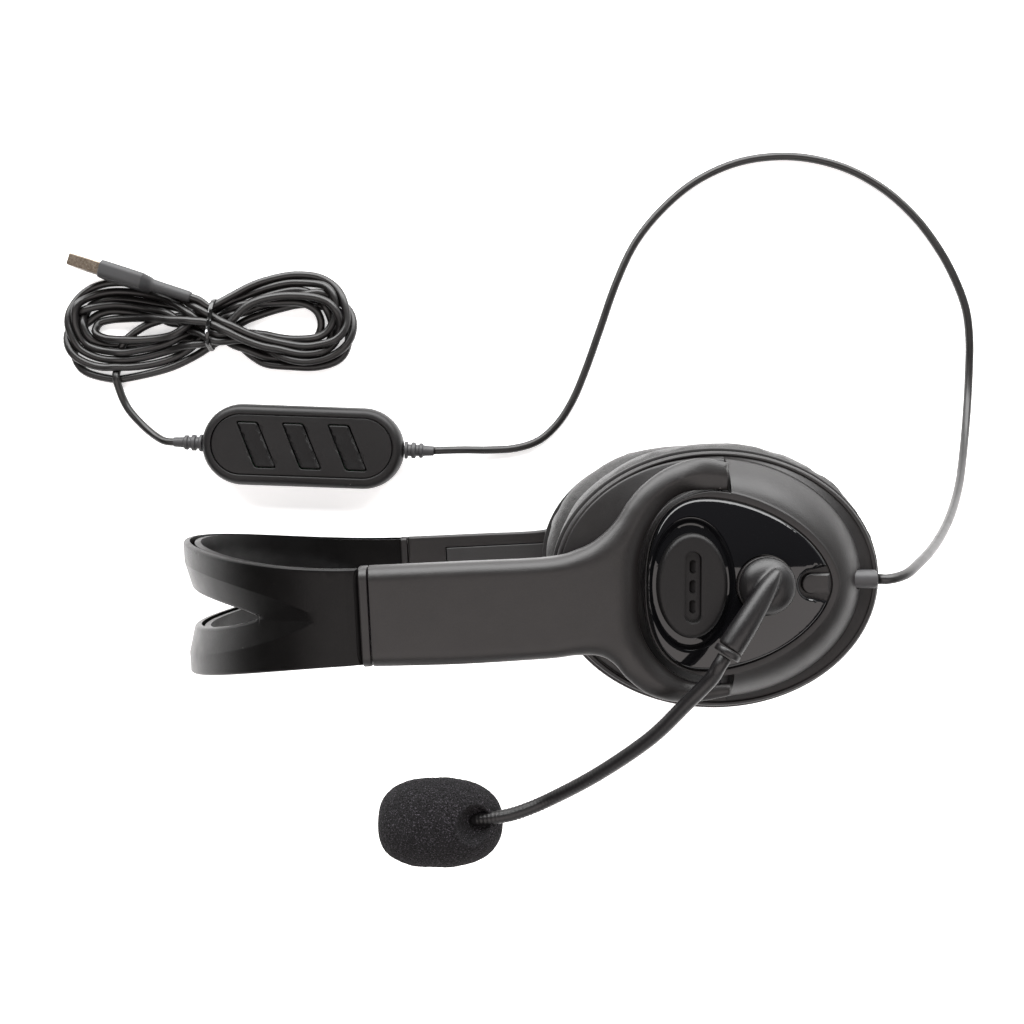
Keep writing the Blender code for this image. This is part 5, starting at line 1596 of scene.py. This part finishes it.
def build_windscreen():
    cx, cy, cw = FOAM_CENTRE
    height = HALF_WIDTH + cw
    capsule = rounded_profile([(-9.7, 2.0), (-10.2, 4.6), (-19.0, 4.6), (-20.0, 2.6)], 0.5)
    path = [(x, cy, height) for x, r in capsule]
    add_piece("capsule", "mic_boom", "inner",
              tube(path, [r for x, r in capsule], 48), ["mic_capsule"])
    profile = []
    for i in range(1, 150):
        t = math.pi * i / 150
        blunt = (0.8, 0.7) if t < math.pi / 2 else (0.92, 0.84)
        profile.append((cx - FOAM_HALF_LENGTH * power(math.cos(t), blunt[0]),
                        FOAM_RADIUS * power(math.sin(t), blunt[1])))
    cavity = [(-6.4, 4.4), (-7.2, 3.1), (-8.6, 2.9), (-9.0, 4.8), (-22.0, 4.8), (-23.0, 3.0)]
    rings = []
    for index, (x, r) in enumerate(profile + cavity):
        circle = []
        for k in range(260):
            t = TURN * k / 260
            point = Vector((x, r * math.cos(t), r * math.sin(t)))
            reach = r
            if index < len(profile) and r > 5.5:
                reach += 0.10 * noise.noise(point / 0.55) + 0.14 * noise.noise(point / 1.4) \
                    + 0.25 * noise.noise(point / 6.0)
            y, z = cy + reach * math.cos(t), height + reach * math.sin(t)
            if index < len(profile) and z > height:
                off = math.hypot((x - FOAM_MOUTH[0]) / MOUTH_A, (y - FOAM_MOUTH[1]) / MOUTH_B)
                z = max(z - MOUTH_DEPTH * max(0.0, 1.0 - off ** 3),
                        min(z, height + MOUTH_FLOOR))
            circle.append((x, y, z))
        rings.append(circle)
    piece = add_piece("windscreen", "mic_boom", "foam", loft(rings),
                      ["foam_windscreen"], sharp=0)


# --- remote, plug and tie -----------------------------------------------------------------

def pod_xy(u, v):
    c, s = math.cos(POD_TILT), math.sin(POD_TILT)
    return POD_X + u * c - v * s, POD_Y + u * s + v * c


def pod_loop(shrink, steps=40):
    """Stadium outline of the remote, in its own frame."""
    radius = POD_WIDTH / 2 - shrink
    straight = POD_LENGTH / 2 - POD_WIDTH / 2
    result = []
    for end in (1, -1):
        for i in range(steps + 1):
            t = math.pi * (i / steps - 0.5) + (0 if end > 0 else math.pi)
            result.append((end * straight + radius * math.cos(t), radius * math.sin(t)))
        result += [(end * straight * (1 - 2 * k / 12), end * radius) for k in range(1, 12)]
    return result


def pod_ring(shrink, z):
    return [(*pod_xy(u, v), z) for u, v in pod_loop(shrink)]


def key_loop(x, grow, corner=0.9):
    """Slanted parallelogram with rounded corners and its centre at x."""
    half = KEY_WIDTH / 2 + grow
    tall = KEY_HEIGHT / 2 + grow
    lean = KEY_SLANT / 2
    corners = [np.array(p) for p in ((x - half + lean, -tall), (x + half + lean, -tall),
                                     (x + half - lean, tall), (x - half - lean, tall))]
    result = []
    for i, here in enumerate(corners):
        back, ahead = corners[i - 1] - here, corners[(i + 1) % 4] - here
        one = here + back / np.linalg.norm(back) * corner
        two = here + ahead / np.linalg.norm(ahead) * corner
        result += [tuple(p) for p in corner_curve(one, here, two, 6)]
        stop = corners[(i + 1) % 4] - ahead / np.linalg.norm(ahead) * corner
        result += [tuple(two + (stop - two) * share) for share in (0.2, 0.4, 0.6, 0.8)]
    return result


def pod_plate(outline, bottom, top, holes=(), edge_round=0.0, dish=0.0, spacing=2.2):
    def place(points, edge, upper):
        x, y = pod_xy(points[:, 0], points[:, 1])
        if not upper:
            return column(x, y, bottom)
        fall = round_over(edge, edge_round) if edge_round else 0.0
        return column(x, y, top - fall - dish * ease(edge / 3.0))
    dots = []
    if edge_round:
        for row in round_rows(edge_round, 4):
            dots += inset(outline, row)
            for hole in holes:
                dots += outset(hole, row)
    return plate(outline, place, holes=holes, dots=dots, spacing=spacing)


def build_remote():
    root = "near_arm"
    lower = [pod_ring(*pair) for pair in (
        (2.6, 0.0), (1.8, 0.12), (1.0, 0.7), (0.5, 1.5), (0.2, 2.6), (0.05, 4.2), (0.0, 5.6),
        (0.15, 5.85))]
    floor = [pod_ring(1.6, 1.6), pod_ring(1.6, 5.85)]
    add_piece("remote_tray", root, "remote",
              bowl(lower[::-1], floor), ["remote_lower_shell"])
    upper = [pod_ring(*pair) for pair in (
        (0.15, 6.15), (0.0, 6.35), (0.03, 7.6), (0.2, 9.0), (0.55, 10.2), (1.05, 11.05),
        (1.7, 11.6), (2.4, 11.88), (3.2, POD_HEIGHT), (3.6, POD_HEIGHT - 0.02), (3.85, 11.85),
        (3.9, 11.6), (3.9, 10.2), (5.4, 10.2), (5.4, 9.4), (1.6, 9.4), (1.6, 6.15))]
    add_piece("remote_top", root, "remote",
              loft(upper, joined=True), ["remote_upper_shell"], sharp=40.0)
    places = [KEY_PITCH * i for i in (-1, 0, 1)]
    face = pod_plate(pod_loop(4.2), 10.5, 11.7, [key_loop(x, 0.4, 1.2) for x in places], 0.35)
    add_piece("remote_face", root, "remote", face,
              ["remote_face_plate"])
    for word, x in zip(("left", "middle", "right"), places):
        key = pod_plate(key_loop(x, 0.0), 7.2, 11.9, (), 0.55, 0.25, 1.0)
        add_piece(f"key_cap_{word}", f"key_{word}", "badge", key,
                  [f"remote_key_{word}"])
    board = add_piece("remote_board", root, "board",
                      pod_plate(pod_loop(2.4), 4.2, 5.4), ["remote_circuit_board"])
    soften(board, 0.08, 1)
    for word, end in (("left", -1), ("right", 1)):
        profile = [(0.0, 3.3), (1.0, 3.3), (1.2, 2.3), (2.4, 2.3), (2.6, 3.1), (4.0, 3.1),
                   (4.2, 2.2), (5.4, 2.2), (5.6, 2.9), (6.8, 2.8), (7.0, 2.1), (11.0, 1.85)]
        profile = rounded_profile(profile, 0.25)
        start = POD_LENGTH / 2 + GAP
        path = [(*pod_xy(end * (start + step), 0.0), 6.0) for step, r in profile]
        add_piece(f"boot_{word}", root, "rubber",
                  tube(path, [r for step, r in profile], 48), [f"remote_boot_{word}"])


def gland_shape():
    profile = smooth_path([(97.6, 1.0), (98.2, 1.9), (99.8, 2.7), (101.6, 2.7), (106.4, 2.7),
                           (106.9, 2.62), (GLAND_END_X, 2.3)], 6)
    height = HALF_WIDTH + GLAND_W
    return tube([(x, CUP_Y, height) for x, r in profile], [r for x, r in profile], 56)


def plug_section(along, thick, tall, radius, steps=8):
    """Rounded rectangle across the plug's axis."""
    half, high = thick / 2 - radius, tall / 2 - radius
    result = []
    for quarter, (sy, sz) in enumerate(((1, 1), (-1, 1), (-1, -1), (1, -1))):
        for step in range(steps + 1):
            t = math.pi / 2 * (quarter + step / steps)
            result.append(plug_point(along, sy * half + radius * math.cos(t),
                                     PLUG_AXIS_Z + sz * high + radius * math.sin(t)))
    return result


def build_plug():
    root = "near_arm"
    grip = [(0.0, 5.5, 14.2, 1.6), (0.15, 6.2, 15.0, 1.8), (0.6, 6.8, 15.8, 2.0),
            (5.0, 6.8, 15.8, 2.1), (10.0, 6.7, 15.7, 2.1), (15.6, 6.5, 15.5, 2.1),
            (16.5, 6.4, 14.8, 2.2), (17.1, 6.1, 12.6, 2.3), (17.6, 5.7, 9.8, 2.3),
            (18.3, 5.2, 7.4, 2.3), (19.2, 4.9, 5.6, 2.3), (20.4, 4.8, 5.0, 2.3),
            (27.0, 4.6, 4.65, 2.2), (33.2, 4.3, 4.3, 2.1), (33.9, 4.0, 4.0, 1.9),
            (34.2, 3.5, 3.5, 1.65)]
    overmold = add_piece("plug_overmold", root, "overmold",
                         loft([plug_section(*g) for g in grip]), ["usb_overmold"])
    wall = 0.4
    near_end, far_end = -GAP, -GAP - USB_LENGTH
    shell = []
    for along, shrink in ((near_end, 0.0), (far_end + 0.1, 0.0), (far_end, 0.08),
                          (far_end, wall - 0.08), (far_end + 0.1, wall), (near_end, wall)):
        shell.append(plug_section(along, USB_THICK - 2 * shrink, USB_WIDTH - 2 * shrink, 0.45))
    metal = make_object("plug_shell", loft(shell, joined=True))
    for z in (-2.9, 2.9):
        for side in (-1, 1):
            corners = [(far_end + 5.4, z - 1.05), (far_end + 8.0, z - 1.05),
                       (far_end + 8.0, z + 1.05), (far_end + 5.4, z + 1.05)]
            low = [plug_point(a, side * 1.7, PLUG_AXIS_Z + h) for a, h in corners]
            high = [plug_point(a, side * 2.6, PLUG_AXIS_Z + h) for a, h in corners]
            carve(metal, (low + high, BOX_FACES))
    finish_piece(metal, root, "plug", ["usb_shell"], 32.0)
    tongue = []
    half = USB_WIDTH / 2 - 0.8
    for along in (near_end - 0.2, far_end + 2.0):
        tongue.append([plug_point(along, y, PLUG_AXIS_Z + z)
                       for y, z in ((-1.75, -half), (0.1, -half), (0.1, half), (-1.75, half))])
    insert = add_piece("plug_tongue", root, "inner", loft(tongue),
                       ["usb_tongue"])
    soften(insert, 0.12, 2)
    return [overmold, metal, insert]


def tie_shape(path_points):
    """Flat band round the bundle of strands at its waist."""
    points = np.array(path_points)
    near = points[np.abs(points[:, 0] - TIE_X) < 1.6]
    centre = np.array([(near[:, 1].min() + near[:, 1].max()) / 2, near[:, 2].mean()])
    rays = [np.array([math.cos(t), math.sin(t)]) for t in (TURN * k / 72 for k in range(72))]
    reach = np.array([((near[:, 1:] - centre) @ ray).max() + CABLE_RADIUS + TIE_GAP
                      for ray in rays])
    for _ in range(3):
        evened = 0.25 * np.roll(reach, 1) + 0.5 * reach + 0.25 * np.roll(reach, -1)
        reach = np.maximum(reach, evened)
    rings = []
    for grow, x in ((0.0, -0.85), (0.0, 0.85), (0.55, 0.72), (TIE_THICK, 0.3),
                    (TIE_THICK, -0.3), (0.55, -0.72)):
        lowest = 0.06 + 0.3 * (TIE_THICK - grow)
        circle = []
        for ray, far in zip(rays, reach):
            y, z = centre + (far + grow) * ray
            circle.append((TIE_X + x + 0.12 * (y - centre[0]), y, max(z, lowest)))
        rings.append(circle)
    return loft(rings, joined=True)


# --- assembly --------------------------------------------------------------------------------

build_studio()
lower_cable, lower_row = build_cable()
plug_pieces = build_plug()
lower_points = lower_row / MM
lower_points[:, :2] -= np.array(ORIGIN)
tie = add_piece("cable_tie", "near_arm", "tie",
                tie_shape(lower_points), ["hank_tie"], sharp=50.0)
add_piece("gland", "near_cup", "rubber", gland_shape(),
          ["cable_gland"])
build_headband()
for word, side in (("near", 1), ("far", -1)):
    build_arm(word, side)
    build_cup(word, side)
build_microphone()
build_remote()

bpy.context.view_layer.update()
